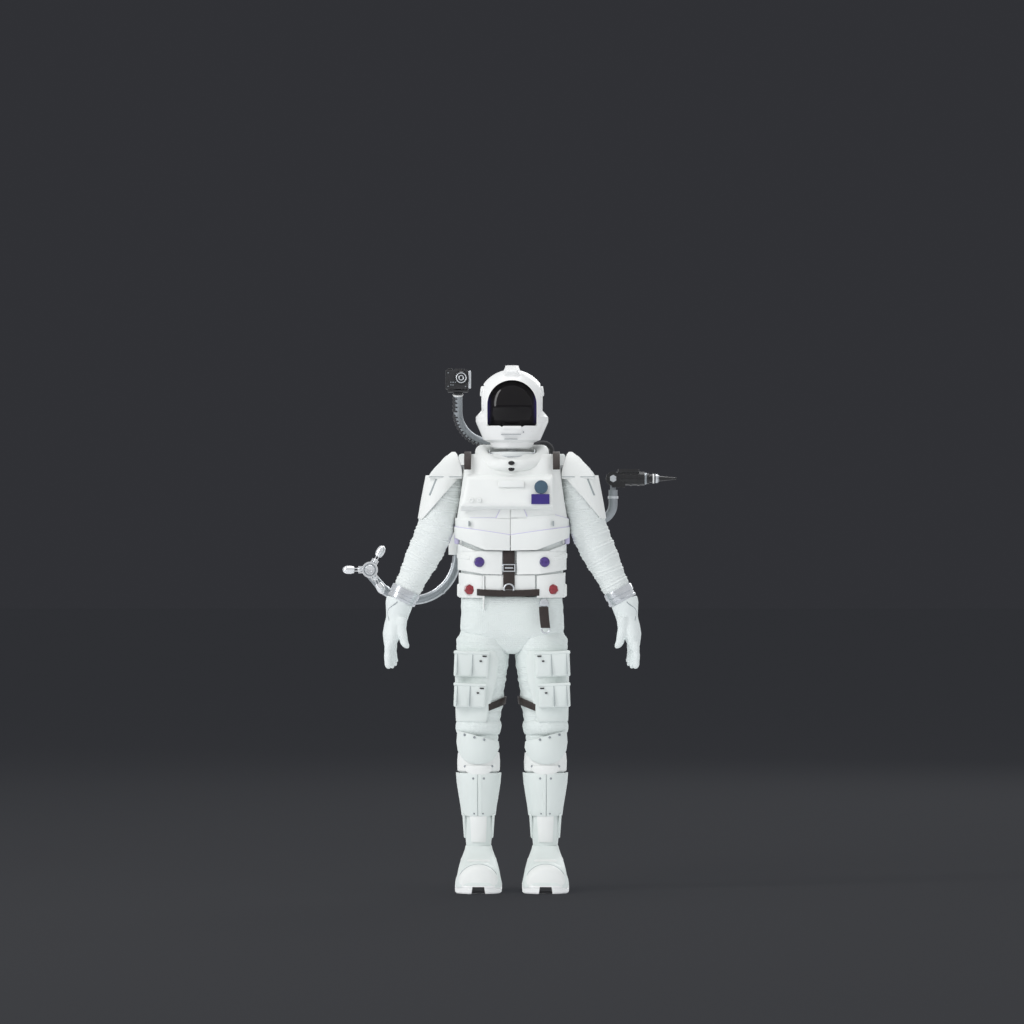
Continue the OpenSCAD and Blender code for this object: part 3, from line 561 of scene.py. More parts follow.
def ribbon(name, path, width, thick, across="X", edge=0.12):
    """A flat strap: path is a list of (x, y, z) points down its middle."""
    clear()
    bpy.ops.mesh.primitive_plane_add(size=1)
    strap = bpy.context.object
    strap.name = strap.data.name = name
    pick(strap, lambda co: co.y > 0, "VERT")
    bpy.ops.mesh.delete(type="VERT")
    pick(strap, None, "EDGE")
    bpy.ops.transform.translate(value=(0, 0.5, 0))
    if across == "Z":
        bpy.ops.transform.rotate(value=math.radians(90), orient_axis="Y",
                                 center_override=(0, 0, 0))
    bpy.ops.transform.resize(value=(width * MM,) * 3, center_override=(0, 0, 0))
    bpy.ops.transform.translate(value=at(*path[0]))
    for before, now in zip(path, path[1:]):
        bpy.ops.mesh.extrude_region_move(TRANSFORM_OT_translate={
            "value": (Vector(now) - Vector(before)) * MM})
    bpy.ops.object.mode_set(mode="OBJECT")
    modify(strap, "SOLIDIFY", thickness=thick * MM, offset=0.0)
    if edge:
        soften(strap, edge, 2, 50)
    return done(strap)


def cut(piece, cutter, operation="DIFFERENCE"):
    done(cutter, 0)
    modify(piece, "BOOLEAN", object=cutter, operation=operation, solver="EXACT")
    drop(cutter)
    return done(piece)


print("trim helpers ready")

# %% [markdown]
# ## Sleeves
# The sleeve is one tube of ribbed cloth that is pulled over the whole arm. It could be two tubes
# that meet at the elbow, but they would part when the arm bends, so it is a single loft whose
# rings follow the arm, with a small rise on every rib.

# %% Arm lines
SHOULDER_X, SHOULDER_Z = 23.0, 151.0
UPPER_LEN, FORE_LEN = 21.4, 26.2
UPPER_LEAN, FORE_LEAN = 11.5, 26.0


def step_along(point, lean, distance):
    """Go down a limb that leans outwards by an angle in degrees."""
    slope = math.radians(lean)
    return (point[0] + distance * math.sin(slope), point[1],
            point[2] - distance * math.cos(slope))


def between(value, pairs):
    """Read a value from a list of (distance, value) pairs, with straight lines between them."""
    for (a, low), (b, high) in zip(pairs, pairs[1:]):
        if value <= b:
            return low + (high - low) * max(0.0, (value - a) / (b - a))
    return pairs[-1][1]


def rumple(piece, size, amount):
    """Push the cloth in and out a little, as loose cloth over a limb."""
    cloud = bpy.data.textures.new("loose_cloth", "CLOUDS")
    cloud.noise_scale = size * MM
    cloud.noise_depth = 1
    return modify(piece, "DISPLACE", texture=cloud, strength=amount * MM, mid_level=0.5,
                  texture_coords="LOCAL")


SHOULDER = (SHOULDER_X, 0.0, SHOULDER_Z)
ELBOW = step_along(SHOULDER, UPPER_LEAN, UPPER_LEN)
WRIST = step_along(ELBOW, FORE_LEAN, FORE_LEN)
print("elbow", ELBOW, "wrist", WRIST)


# %% Sleeves
def sleeve_rings():
    rings, spot, step = [], step_along(SHOULDER, UPPER_LEAN, -5.2), 0.62
    run = -5.2
    girth = [(-5.2, 1.6), (-4.2, 2.3), (-2.6, 3.2), (0, 4.9), (2.6, 6.3), (16, 6.45),
             (22, 6.75), (30, 6.4), (40, 5.2), (46.2, 4.75)]
    while run < 46.2:
        lean = UPPER_LEAN + (FORE_LEAN - UPPER_LEAN) * between(run, [(15, 0), (28, 1)])
        rib = 0.15 * math.sin(run * 4.4) + 0.12 * math.sin(run * 1.31 + 1)
        wide = 2 * (between(run, girth) + rib * between(run, [(-1, 0), (5, 1)]))
        slant = 4.5 * math.sin(run * 0.53) * between(run, [(4, 0), (10, 1), (42, 1), (46, 0)])
        rings.append((*spot, wide, wide, -lean + slant))
        spot = step_along(spot, lean, step)
        run += step
    return rings


sleeve = rumple(loft("sleeve_l", sleeve_rings()), 4.5, 0.5)
twin(sleeve, "sleeve_r")
for side, sign in (("l", 1), ("r", -1)):
    piece = bpy.data.objects["sleeve_" + side]
    done(piece, 60)
    dress(piece, SUIT, None, None, ("upper_arm_" + side, "forearm_" + side))
    top, low = step_along(ELBOW, UPPER_LEAN, -6), step_along(ELBOW, FORE_LEAN, 6)
    at(sign * top[0], 0, top[2])
    at(sign * low[0], 0, low[2])
    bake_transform(piece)
print("sleeve faces", len(sleeve.data.polygons))

# %% [markdown]
# ## Trouser legs
# The trousers are cut the same way: one tube from the hip to the top of the boot. The seat is a
# separate brief, because two joints meet in each hip.

# %% Trouser legs
HIP, KNEE_Z = (10.4, 0.0, 89.0), 51.0
KNEE_X = 12.0


def leg_rings():
    rings, height, step = [], 97.6, 0.8
    girth = [(26, 4.9), (34, 5.9), (42, 6.6), (46, 6.9), (55, 6.9), (61.6, 7.15), (70, 8.3),
             (81, 9.25), (86, 9.4), (90, 9.4), (94, 8.0), (97.6, 4.6)]
    while height > 26:
        x = KNEE_X if height < KNEE_Z else KNEE_X + (HIP[0] - KNEE_X) * (height - KNEE_Z) / 38
        fold = 0.13 * math.sin(height * 2.1) + 0.12 * math.sin(height * 0.83 + 2)
        wide = 2 * (between(height, girth) + fold)
        slant = 5 * math.sin(height * 0.37) * between(height, [(27, 0), (34, 1), (82, 1), (90, 0)])
        rings.append((x, 0.0, height, wide, wide * 1.02, slant))
        height -= step
    return rings


leg = rumple(loft("trouser_leg_l", leg_rings(), 44), 6.0, 0.6)
twin(leg, "trouser_leg_r")
for side, sign in (("l", 1), ("r", -1)):
    piece = bpy.data.objects["trouser_leg_" + side]
    done(piece, 60)
    dress(piece, SUIT_LEG, None, None, ("thigh_" + side, "shin_" + side))
    at(sign * KNEE_X, 0, KNEE_Z + 6)
    at(sign * KNEE_X, 0, KNEE_Z - 6)
    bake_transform(piece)
print("leg faces", len(leg.data.polygons))

# %% [markdown]
# ## Seat and belly
# Both are soft, rounded boxes: a plane with round corners is extruded up through rings that swell
# and pinch at the folds. The seat narrows to the crotch between the two legs.

# %% Seat and belly
seat = loft("trouser_seat", [
    (0, 0, 106.0, 35.6, 17.6, 0), (0, 0, 105.4, 36.6, 18.6, 0), (0, 0, 103.6, 36.2, 18.3, 0),
    (0, 0, 102.2, 36.9, 18.8, 0), (0, 0, 100.4, 36.5, 18.5, 0), (0, 0, 98.6, 37.2, 19.0, 0),
    (0, 0, 96.4, 37.0, 18.9, 0), (0, 0, 94.4, 37.4, 19.0, 0), (0, 0, 92.6, 36.4, 18.6, 0),
    (0, 0, 91.2, 30.0, 17.8, 0), (0, 0, 89.4, 20.0, 16.0, 0), (0, 0, 87.4, 12.0, 14.0, 0),
    (0, 0, 85.8, 6.6, 12.0, 0), (0, 0, 85.0, 3.0, 9.0, 0)], points=48, corner=8)
modify(seat, "SUBSURF", levels=2, render_levels=2)
rumple(seat, 7, 0.7)
done(seat, 60)
dress(seat, SUIT_LEG, "pelvis", None, ("pelvis",))

belly = loft("belly_cloth", [
    (0, 0, 105.9, 34.8, 20.0, 0), (0, 0, 106.6, 36.4, 21.2, 0), (0, 0, 108.4, 36.0, 21.0, 0),
    (0, 0, 110.2, 36.8, 21.4, 0), (0, 0, 112.4, 36.2, 21.0, 0), (0, 0, 114.2, 36.9, 21.3, 0),
    (0, 0, 118.0, 36.4, 21.0, 0), (0, 0, 122.0, 36.8, 21.2, 0), (0, 0, 126.0, 36.2, 21.0, 0),
    (0, 0, 127.1, 35.4, 20.2, 0)], points=48, corner=9)
modify(belly, "SUBSURF", levels=2, render_levels=2)
rumple(belly, 6, 0.45)
done(belly, 60)
dress(belly, SUIT, "pelvis", None, ("abdomen",))
print("seat", len(seat.data.polygons), "belly", len(belly.data.polygons))

# %% [markdown]
# ## Vest
# The vest is a stiff padded shell over the chest. It is one loft from the waist to the sloping
# shoulders, and a turned shape is cut from each side to leave the arms room to swing.

# %% Vest shell
def arm_room():
    return disc("arm_room", (SHOULDER_X, 0, SHOULDER_Z), (1, 0, 0), [
        (-7.75, 0.4), (-7.3, 2.7), (-6.6, 4.1), (-5.77, 5.25), (-0.68, 30.2), (14, 30.2)], 48)


def vest_loft(name, low, high, grow=0.0):
    shape = [(120.5, 39.2, 24.6), (127.5, 39.4, 24.6), (128.6, 39.8, 25.0), (133, 40.2, 25.4),
             (137, 40.2, 25.2), (143, 39.2, 24.8), (149, 37.6, 23.8), (151.6, 36.6, 22.0),
             (153.4, 35.6, 19.6), (155.0, 34.2, 17.0), (156.2, 32.4, 14.8), (156.9, 30.0, 12.6)]
    rings = [(0, 0, z, w + 2 * grow, d + 2 * grow, 0) for z, w, d in shape if low <= z <= high]
    return loft(name, rings, points=56, corner=10.4 + grow)


vest = vest_loft("vest_shell", 127, 160)
for turn in (1, -1):
    room = arm_room()
    if turn < 0:
        place(room, Matrix.Scale(-1, 4, (1, 0, 0)))
    cut(vest, room)
dress(vest, VEST, "torso", None, ("vest", "torso_core"))
print("vest", len(vest.data.polygons))

# %% [markdown]
# The vest closes with stepped panels in front. Each is cut from the same loft, a little larger,
# and a lilac piping of the same outline lies under its upper edge. Two halves leave a centre seam.

# %% Vest panels
skin = slice_off(vest_loft("vest_skin", 120, 160), [((0, 1.5, 0), (0, 1, 0))])
SEAM_X = -0.6


def halves(name, left, right, thick, finish, edge=0.15, lift=0.0):
    for side, corners in (("r", left), ("l", right)):
        dress(panel(skin, f"{name}_{side}", outline(*corners), thick, edge, lift), finish,
              "torso", "vest")


halves("vest_hem",
       [(-9.6, 122.5), (SEAM_X - 0.12, 122.3), (SEAM_X - 0.12, 128.0), (-21.5, 131.0),
        (-21.5, 127.6)],
       [(SEAM_X + 0.12, 122.3), (8.8, 122.5), (21.5, 127.6), (21.5, 131.0),
        (SEAM_X + 0.12, 128.0)], 0.9, VEST)
halves("vest_hem_piping",
       [(-9.0, 123.5), (SEAM_X - 0.12, 123), (SEAM_X - 0.12, 128.22), (-21.3, 131.22),
        (-21.3, 128.0)],
       [(SEAM_X + 0.12, 123), (8.6, 123.5), (21.3, 128.0), (21.3, 131.22),
        (SEAM_X + 0.12, 128.22)], 0.55, LILAC, 0.08)
halves("vest_band",
       [(-21.0, 130.5), (SEAM_X - 0.12, 127.0), (SEAM_X - 0.12, 133.9), (-21.0, 134.0)],
       [(SEAM_X + 0.12, 127.0), (21.0, 130.5), (21.0, 133.4), (15.4, 135.0), (SEAM_X + 0.12,
                                                                            134.2)], 0.45, VEST)
halves("vest_tongue",
       [(-5.8, 133.5), (SEAM_X - 0.12, 133.5), (SEAM_X - 0.12, 137.4), (-4.0, 137.4)],
       [(SEAM_X + 0.12, 133.5), (5.6, 133.5), (4.1, 137.4), (SEAM_X + 0.12, 137.4)], 0.45, VEST)
for i, corners in enumerate((
        [(-15.0, 133.6), (-5.6, 133.6), (-5.6, 134.1), (-15.0, 134.1)],
        [(-6.0, 133.9), (-5.4, 133.9), (-3.8, 137.2), (-4.2, 137.2)],
        [(5.2, 133.9), (5.8, 133.9), (4.4, 137.2), (3.9, 137.2)],
        [(5.6, 134.1), (14.4, 134.6), (14.4, 134.95), (5.6, 134.5)],
        [(15.4, 134.7), (21.0, 133.1), (21.0, 133.55), (15.4, 135.2)])):
    dress(panel(skin, "vest_line_%d" % i, outline(*corners), 0.3, 0.08), LILAC, "torso", "vest")
for side, x in (("r", -15.4), ("l", 14.8)):
    tab = block("vest_slot_" + side, (x - 0.25, -13.1, 131.0), (x + 0.25, -11.5, 132.9), 0.15)
    dress(done(tab), SEAM, "torso", "vest")
for side, sign in (("r", -1), ("l", 1)):
    flank = block("vest_flank_" + side, (18.9, -3.2, 124.6), (20.7, 5.0, 131.4), 0.5, 3)
    if sign < 0:
        place(flank, Matrix.Scale(-1, 4, (1, 0, 0)))
    dress(done(flank), LILAC, "torso", "vest")
drop(skin)
print("vest panels done")

# %% [markdown]
# ## Chest module
# The control box starts as a block. Its upper edge leans back into the vest, its right side flares
# out towards the bottom and the underside is cut back, and shallow frames are inset in its face.

# %% Chest module
module = block("chest_box", (-18.4, -17.3, 136.8), (14.6, -10.5, 149.8))
for test, move in ((lambda c: c.z > 0.148 and c.y < -0.018, (0, 3.3, -1.2)),
                   (lambda c: c.z > 0.147 and c.x < 0, (2.4, 0, 0)),
                   (lambda c: c.z < 0.138 and c.y < -0.018, (0, 0, 1.3)),
                   (lambda c: c.z < 0.138 and c.y > -0.018, (0, 0, -0.5))):
    pick(module, test, "VERT")
    bpy.ops.transform.translate(value=Vector(move) * MM)
    bpy.ops.object.mode_set(mode="OBJECT")
pick(module, lambda c, n: n.y < -0.6)
bpy.ops.mesh.inset(thickness=1.1 * MM)
bpy.ops.transform.translate(value=(0, -0.55 * MM, 0.15 * MM))
bpy.ops.object.mode_set(mode="OBJECT")
cut(module, block("window", (-5.2, -20.5, 144.6), (4.6, -16.2, 147.6)))
cut(module, block("groove", (-6.2, -20.5, 137.9), (4.2, -17.55, 138.25)))
soften(module, 0.45, 3, 25)
dress(done(module), VEST, "torso", None, ("chest_module",))
inner = block("chest_box_window", (-4.9, -16.7, 144.9), (4.3, -15.9, 147.4), 0.2)
dress(done(inner), VEST, "torso", "chest_module")
knobs = []
for x in (-14.6, -11.8):
    knobs.append(disc("dial", (x, -17.7, 140.4), (0, -1, 0),
                      [(-0.4, 0.95), (0.25, 0.95), (0.4, 0.8), (0.42, 0.35), (0.2, 0.3)], 20))
dress(join(knobs, "chest_dials"), VEST, "torso", "chest_module")

# %% Patches and snaps
patch = disc("patch_round", (10.4, -17.7, 145.0), (0, -1, 0.05), [
    (-0.8, 2.42), (0.25, 2.42), (0.42, 2.3), (0.42, 2.0), (0.3, 1.9), (0.42, 1.0), (0.45, 0.3)],
    40)
dress(patch, TEAL, "torso", "badges")
square = block("patch_square", (6.9, -18.4, 138.9), (13.4, -17.4, 142.5))
pick(square, lambda c, n: n.y < -0.6)
bpy.ops.mesh.inset(thickness=0.35 * MM)
bpy.ops.transform.translate(value=(0, 0.12 * MM, 0))
bpy.ops.object.mode_set(mode="OBJECT")
soften(square, 0.1, 2)
dress(done(square), BADGE, "torso", None, ("badges",))
snaps = []
for y, z in ((-13.75, 153.6), (-12.9, 151.5)):
    snap = disc("snap", (-0.2, y, z), (0, -1, 0.25),
                [(-0.7, 1.15), (0.3, 1.15), (0.5, 1.0), (0.62, 0.6), (0.62, 0.2)], 24)
    pick(snap)
    bpy.ops.transform.resize(value=(1, 1, 0.66), center_override=at(-0.2, y, z))
    bpy.ops.object.mode_set(mode="OBJECT")
    snaps.append(snap)
dress(join(snaps, "collar_snaps"), GLOSS_BLACK, "torso", "badges")
print("chest done")

# %% [markdown]
# ## Collar
# A thick padded roll lies round the neck and dips in front. It starts as a torus, and bands of its
# points are lowered one after the other towards the front. Two thin metal rings lie inside it,
# tilted a little, and each is a torus that is cut across with its ends filled.

# %% Collar
COLLAR_TILT = 14
clear()
bpy.ops.mesh.primitive_torus_add(location=at(0, 0, 158.0), major_radius=11.0 * MM,
                                 minor_radius=2.4 * MM, major_segments=64, minor_segments=20)
roll = bpy.context.object
roll.name = roll.data.name = "collar_roll"
place(roll, roll.matrix_world.copy())
for front in (0.5, -1.5, -3.5, -5.5, -7.5, -9.0):
    pick(roll, lambda co: co.y < at(0, front, 0).y, "VERT")
    bpy.ops.transform.translate(value=(0, -0.05 * MM, -0.85 * MM))
    bpy.ops.object.mode_set(mode="OBJECT")
modify(roll, "SMOOTH", factor=0.5, iterations=4)
dress(done(roll, 70), VEST, "torso", None, ("collar",))
boot = disc("neck_bellows", (0, 0, 157.2), (0, 0, 1),
            [(0, 5.0), (0.35, 4.4), (0.7, 4.3)], 48)
dress(boot, GREY, "neck", "neck_ring")
for name, height, wide, thick in (("collar_ring", 156.9, 8.35, 0.36),
                                  ("collar_bead", 157.9, 8.2, 0.22)):
    clear()
    bpy.ops.mesh.primitive_torus_add(
        location=at(0, 0, height), rotation=(math.radians(COLLAR_TILT), 0, 0),
        major_radius=wide * MM,
        minor_radius=thick * MM, major_segments=72, minor_segments=14)
    ring = bpy.context.object
    ring.name = ring.data.name = name
    place(ring, ring.matrix_world.copy())
    slice_off(ring, [((0, 2.0, 0), (0, 1, 0))])
    pick(ring)
    bpy.ops.mesh.fill_holes(sides=0)
    bpy.ops.object.mode_set(mode="OBJECT")
    dress(done(ring, 70), STEEL, "torso", "collar")
print("collar", len(roll.data.polygons))

# %% Shoulder straps
for side, sign in (("r", -1), ("l", 1)):
    x = sign * 15.9
    strap = ribbon("shoulder_strap_" + side, [
        (x, -12.15, 151.4), (x, -11.4, 152.8), (x, -10.3, 154.4), (x, -9.2, 155.6),
        (x, -7.6, 156.7), (x, -4.6, 157.3), (x, 0, 157.5), (x, 5.0, 157.3), (x, 8.4, 156.2),
        (x, 10.2, 154.4), (x, 13.2, 152.4)], 2.5, 0.7)
    dress(strap, LEATHER, "torso", None, ("shoulder_straps",))
print("straps done")

# %% [markdown]
# ## Hips
# Below the vest hang two flaps with a purple knob each and a wedge at the side, then pockets and
# a leather harness. The flaps and pockets are panels cut from a skin round the belly.

# %% Hip flaps and pockets
hips = loft("hip_skin", [(0, 0, 104, 36.8, 21.4, 0), (0, 0, 114, 37.2, 21.8, 0),
                         (0, 0, 126, 37.2, 21.8, 0)], points=56, corner=9.4)
slice_off(hips, [((0, 0, 0), (0, 1, 0))])
flaps = (("r", [(-10, 113.9), (-3.5, 113.7), (-3.5, 122.1), (-21, 122.1), (-21, 115.8)]),
         ("l", [(1.7, 113.7), (10, 113.9), (21, 115.8), (21, 122.1), (1.7, 122.1)]))
for side, corners in flaps:
    flap = panel(hips, "hip_flap_" + side, outline(*corners), 0.95, 0.3)
    dress(flap, VEST, "pelvis", None, ("hip_flaps",))
    wedge = panel(hips, "hip_wedge_" + side, outline(
        *([(-21, 121.9), (-12, 121.9), (-21, 125.6)] if side == "r"
          else [(12, 121.9), (21, 121.9), (21, 125.6)])), 0.95, 0.2)
    dress(wedge, VEST, "pelvis", "hip_flaps")
    cuff = panel(hips, "hip_roll_" + side, outline(
        *([(-21, 119.6), (-14.4, 118.9), (-14.4, 120.2), (-21, 122.2)] if side == "r"
          else [(14.4, 118.9), (21, 119.6), (21, 122.2), (14.4, 120.2)])), 1.25, 0.5)
    dress(cuff, VEST, "pelvis", "hip_flaps")
for name, corners, thick in (
        ("pocket_middle", [(-9.6, 108.0), (8.3, 108.0), (8.3, 113.5), (-9.6, 113.5)], 0.42),
        ("pocket_right", [(-21, 105.4), (-10.6, 105.4), (-10.6, 113.3), (-21, 114.6)], 0.6),
        ("pocket_left", [(8.9, 105.4), (21, 105.4), (21, 114.6), (8.9, 113.3)], 0.6),
        ("pocket_rib", [(-10.5, 104.4), (-9.8, 104.4), (-9.8, 113.4), (-10.5, 113.4)], 0.85)):
    dress(panel(hips, name, outline(*corners), thick, 0.18), VEST, "pelvis", "hip_flaps")
drop(hips)
rib = block("pocket_rib_low", (-10.45, -10.2, 101.4), (-9.85, -9.2, 105.2), 0.2)
dress(done(rib), VEST, "pelvis", "hip_flaps")
for side, sign in (("r", -1), ("l", 1)):
    bump = block("hip_lug_" + side, (17.2, -3.5, 105.6), (19.7, 2.5, 110.4), 0.7, 3)
    if sign < 0:
        place(bump, Matrix.Scale(-1, 4, (1, 0, 0)))
    dress(done(bump), VEST, "pelvis", "hip_flaps")

# %% Knobs
def knob(name, x, y, z, finish, rings, points, replaced=()):
    collar = disc("base", (x, y, z), (0, -1, 0), [(-1.6, 2.3), (0.1, 2.3), (0.3, 2.15),
                                                 (0.3, 1.9)], 36)
    cap = disc(name, (x, y, z), (0, -1, 0), rings, points)
    dress(collar, VEST, "pelvis", "hip_flaps")
    collar.name = collar.data.name = name + "_base"
    dress(cap, finish, "pelvis", "side_knobs", replaced)


ROUND = [(-0.4, 1.85), (0.9, 1.85), (1.25, 1.75), (1.5, 1.5), (1.66, 1.0), (1.7, 0.3)]
GEM = [(-0.4, 1.5), (0.5, 1.95), (1.1, 1.8), (1.75, 0.9), (1.8, 0.3)]
knob("knob_purple_r", -11.7, -10.9, 118.2, PURPLE, ROUND, 36)
knob("knob_purple_l", 11.7, -10.9, 118.2, PURPLE, ROUND, 36)
knob("knob_red_r", -15.2, -9.0, 108.3, RED, GEM, 7, ("side_knobs",))
knob("knob_red_l", 14.7, -9.2, 108.4, RED, GEM, 7)
print("knobs done")

# %% Belt and centre strap
BELLY_Y = -11.35
strap = ribbon("centre_strap_leather", [
    (-1.1, BELLY_Y + 0.2, 123.4), (-1.1, BELLY_Y - 0.1, 120), (-1.1, BELLY_Y - 0.05, 116.8),
    (-1.1, BELLY_Y - 0.1, 112), (-1.1, BELLY_Y - 0.15, 108.4)], 4.1, 0.7)
dress(strap, LEATHER, "pelvis", None, ("centre_strap",))
belt_path = []
for i in range(15):
    x = -12.5 + 22.3 * i / 14
    reach = max(0.0, abs(x) - 9.2)
    y = -(1.9 + math.sqrt(9.3 ** 2 - reach ** 2)) - 0.15
    belt_path.append((x, y, 107.4 - 0.45 * (1 - (x + 1.1) ** 2 / 130)))
belt = ribbon("belt_leather", belt_path, 2.35, 0.75, "Z")
dress(belt, LEATHER, "pelvis", "centre_strap")


def frame_loop(name, x, y, z, wide, tall, bar, deep):
    loop = block(name, (x - wide / 2, y - deep, z - tall / 2), (x + wide / 2, y, z + tall / 2))
    pick(loop, lambda c, n: abs(n.y) > 0.6)
    bpy.ops.mesh.inset(thickness=bar * MM)
    bpy.ops.mesh.bridge_edge_loops(type="SINGLE")
    bpy.ops.object.mode_set(mode="OBJECT")
    return done(loop)


buckle = frame_loop("buckle_upper", -1.1, BELLY_Y - 0.35, 116.1, 4.6, 2.8, 0.4, 0.7)
pin = block("buckle_bar", (-2.6, BELLY_Y - 0.9, 115.8), (0.4, BELLY_Y - 0.4, 116.4), 0.15)
dress(join([soften(buckle, 0.15, 2), pin], "buckle_upper"), STEEL, "pelvis", None,
      ("strap_buckles",))
clear()
bpy.ops.mesh.primitive_torus_add(location=at(-1.1, BELLY_Y - 0.65, 108.6), major_radius=1.75 * MM,
                                 minor_radius=0.3 * MM, major_segments=32, minor_segments=10,
                                 rotation=(math.radians(90), 0, 0))
ring = bpy.context.object
ring.name = ring.data.name = "buckle_ring"
place(ring, ring.matrix_world.copy())
slice_off(ring, [((0, 0, 107.9), (0, 0, -1))])
dress(done(ring), STEEL, "pelvis", "strap_buckles")
print("belt done")

# %% Key strap
clip = disc("key_clip_ball", (11.45, -11.6, 103.4), (0, -1, 0),
            [(-1.6, 1.2), (-0.4, 1.75), (0.5, 1.8), (1.1, 1.5), (1.35, 1.0), (1.4, 0.3)], 28)
dress(clip, STEEL, "pelvis", None, ("key_clip",))
strap = ribbon("key_strap_leather", [
    (11.3, -13.0, 102.2), (11.4, -12.95, 100.4), (11.65, -12.9, 97.5), (12.0, -12.85, 94.6)],
    3.4, 0.75)
dress(strap, LEATHER, "key", None, ("key_strap",))
clear()
bpy.ops.mesh.primitive_torus_add(location=at(12.05, -12.85, 94.2), major_radius=1.45 * MM,
                                 minor_radius=0.3 * MM, major_segments=32, minor_segments=10,
                                 rotation=(math.radians(90), 0, 0))
ring = bpy.context.object
ring.name = ring.data.name = "key_ring"
place(ring, ring.matrix_world.copy())
dress(done(ring), STEEL, "key", "key_strap")
print("key strap done")

# %% [markdown]
# ## Helmet
# The moulded helmet is already right in shape. It gets a raised crest, a rim round the visor
# window, a chin bar with slots below it and layered ear pods. The visor is tinted towards its
# sides.

# %% Helmet trim
PIVOT = (0.0, -1.0, 174.6)
lip = disc("helmet_lip", (0, 0, 158.5), (0, 0, 1),
           [(0.4, 6.0), (0.4, 6.6), (0.8, 7.0), (1.5, 7.5), (1.5, 6.0)], 56)
dress(lip, SHELL, "head", "helmet")
crest = []
for i in range(13):
    turn = math.radians(-34 + 9.2 * i)
    crest.append((0, PIVOT[1] + 13.0 * math.sin(turn), PIVOT[2] + 13.0 * math.cos(turn)))
ridge = ribbon("helmet_crest", crest, 6.6, 2.5, "X", 0)
pick(ridge, lambda c, n: (c - at(0, PIVOT[1], PIVOT[2])).length > 0.0139)
bpy.ops.transform.resize(value=(0.64, 1, 1), center_override=(0, 0, 0))
bpy.ops.object.mode_set(mode="OBJECT")
dress(done(soften(ridge, 0.5, 3, 30)), SHELL, "head", "helmet")
slots = []
for z, wide in ((163.9, 3.6), (162.2, 2.4)):
    slots.append(block("slot", (-wide - 0.4, -11.4, z - 0.12), (wide - 0.4, -9.0, z + 0.12), 0.05))
slots.append(block("slot", (3.9, -11.6, 164.4), (4.3, -9.0, 165.0), 0.05))
chin = block("chin_bar", (-3.4, -12.1, 165.7), (3.4, -10.6, 166.95), 0.35)
dress(chin, SHELL, "head", "helmet")
print("crest done")


# %% Visor rim and ear pods
def arch(name, half, top, low, y0, y1, bar):
    """A frame with an arched top: an outline of points is filled, inset and extruded."""
    points = []
    for i in range(25):
        turn = math.pi * i / 24
        points.append((half * math.cos(turn), top + half * math.sin(turn) * 0.995))
    points = [(half, low)] + points + [(-half, low)]
    clear()
    bpy.ops.mesh.primitive_circle_add(vertices=len(points), radius=0.01, fill_type="NGON")
    shape = bpy.context.object
    shape.name = shape.data.name = name
    for point, (x, z) in zip(shape.data.vertices, points):
        point.co = at(x, y0, z)
    pick(shape)
    bpy.ops.mesh.inset(thickness=bar * MM)
    bpy.ops.mesh.delete(type="FACE")
    bpy.ops.mesh.select_all(action="SELECT")
    bpy.ops.mesh.extrude_region_move(TRANSFORM_OT_translate={"value": (0, (y1 - y0) * MM, 0)})
    bpy.ops.object.mode_set(mode="OBJECT")
    return done(shape)


rim = arch("window_rim", 9.3, 174.5, 166.2, -15.0, 2.0, 0.42)
ball = disc("ball", PIVOT, (0, 0, 1), [(-13.2 * math.cos(math.radians(a)),
                                        max(0.2, 13.2 * math.sin(math.radians(a))))
                                       for a in range(0, 181, 6)], 64)
cut(rim, ball, "INTERSECT")
ball = disc("ball", PIVOT, (0, 0, 1), [(-11.9 * math.cos(math.radians(a)),
                                        max(0.2, 11.9 * math.sin(math.radians(a))))
                                       for a in range(0, 181, 6)], 64)
cut(rim, ball)
dress(rim, SHELL, "head", "helmet")
print("rim", len(rim.data.polygons))

for side, sign in (("r", -1), ("l", 1)):
    pod = disc("ear_pod_" + side, (sign * 10.0, PIVOT[1], 175.6), (sign, 0, 0),
               [(-0.6, 5.2), (0.35, 5.2), (0.6, 4.9), (0.65, 4.3), (0.45, 4.15), (0.5, 3.5),
                (0.8, 3.4), (0.95, 3.1), (1.0, 1.5), (0.8, 1.4), (0.8, 0.4)], 48)
    stud = disc("stud", (sign * 10.2, PIVOT[1] - 0.6, 179.4), (sign, 0, 0.12),
                [(-0.8, 1.9), (0.7, 1.9), (1.1, 1.6), (1.2, 0.9), (1.2, 0.3)], 36)
    pod = join([pod, stud], pod.name)
    dress(pod, SHELL, "head", None, ("ear_pods",))
dress(done(join(slots, "chin_slots")), GREY, "head", "helmet")
print("head trim done")

# %% [markdown]
# ## Shoulder armour
# A pad caps each shoulder and comes to a low peak beside the neck. It turns with the arm, and at
# the widest lift its inner edge enters the vest a little. A thin plate below it is cut on a slant.

# %% Shoulder pads and plates
def lean_at(piece, point, lean, turn=0.0):
    """Take a piece made round the origin to a point of a leaning limb."""
    home = Matrix.Translation(-at(0, 0, 0))
    return place(piece, Matrix.Translation(at(*point))
                 @ Matrix.Rotation(math.radians(-lean), 4, "Y")
                 @ Matrix.Rotation(math.radians(turn), 4, "Z") @ home)


def both(piece, finish, body, slot, instead=()):
    """Dress a left piece, and its twin on the right, with names that end in _l and _r."""
    other = twin(piece, piece.name[:-1] + "r")
    for side, each in (("l", piece), ("r", other)):
        dress(each, finish, body + "_" + side, slot + "_" + side,
              [node + "_" + side for node in instead])
    return piece


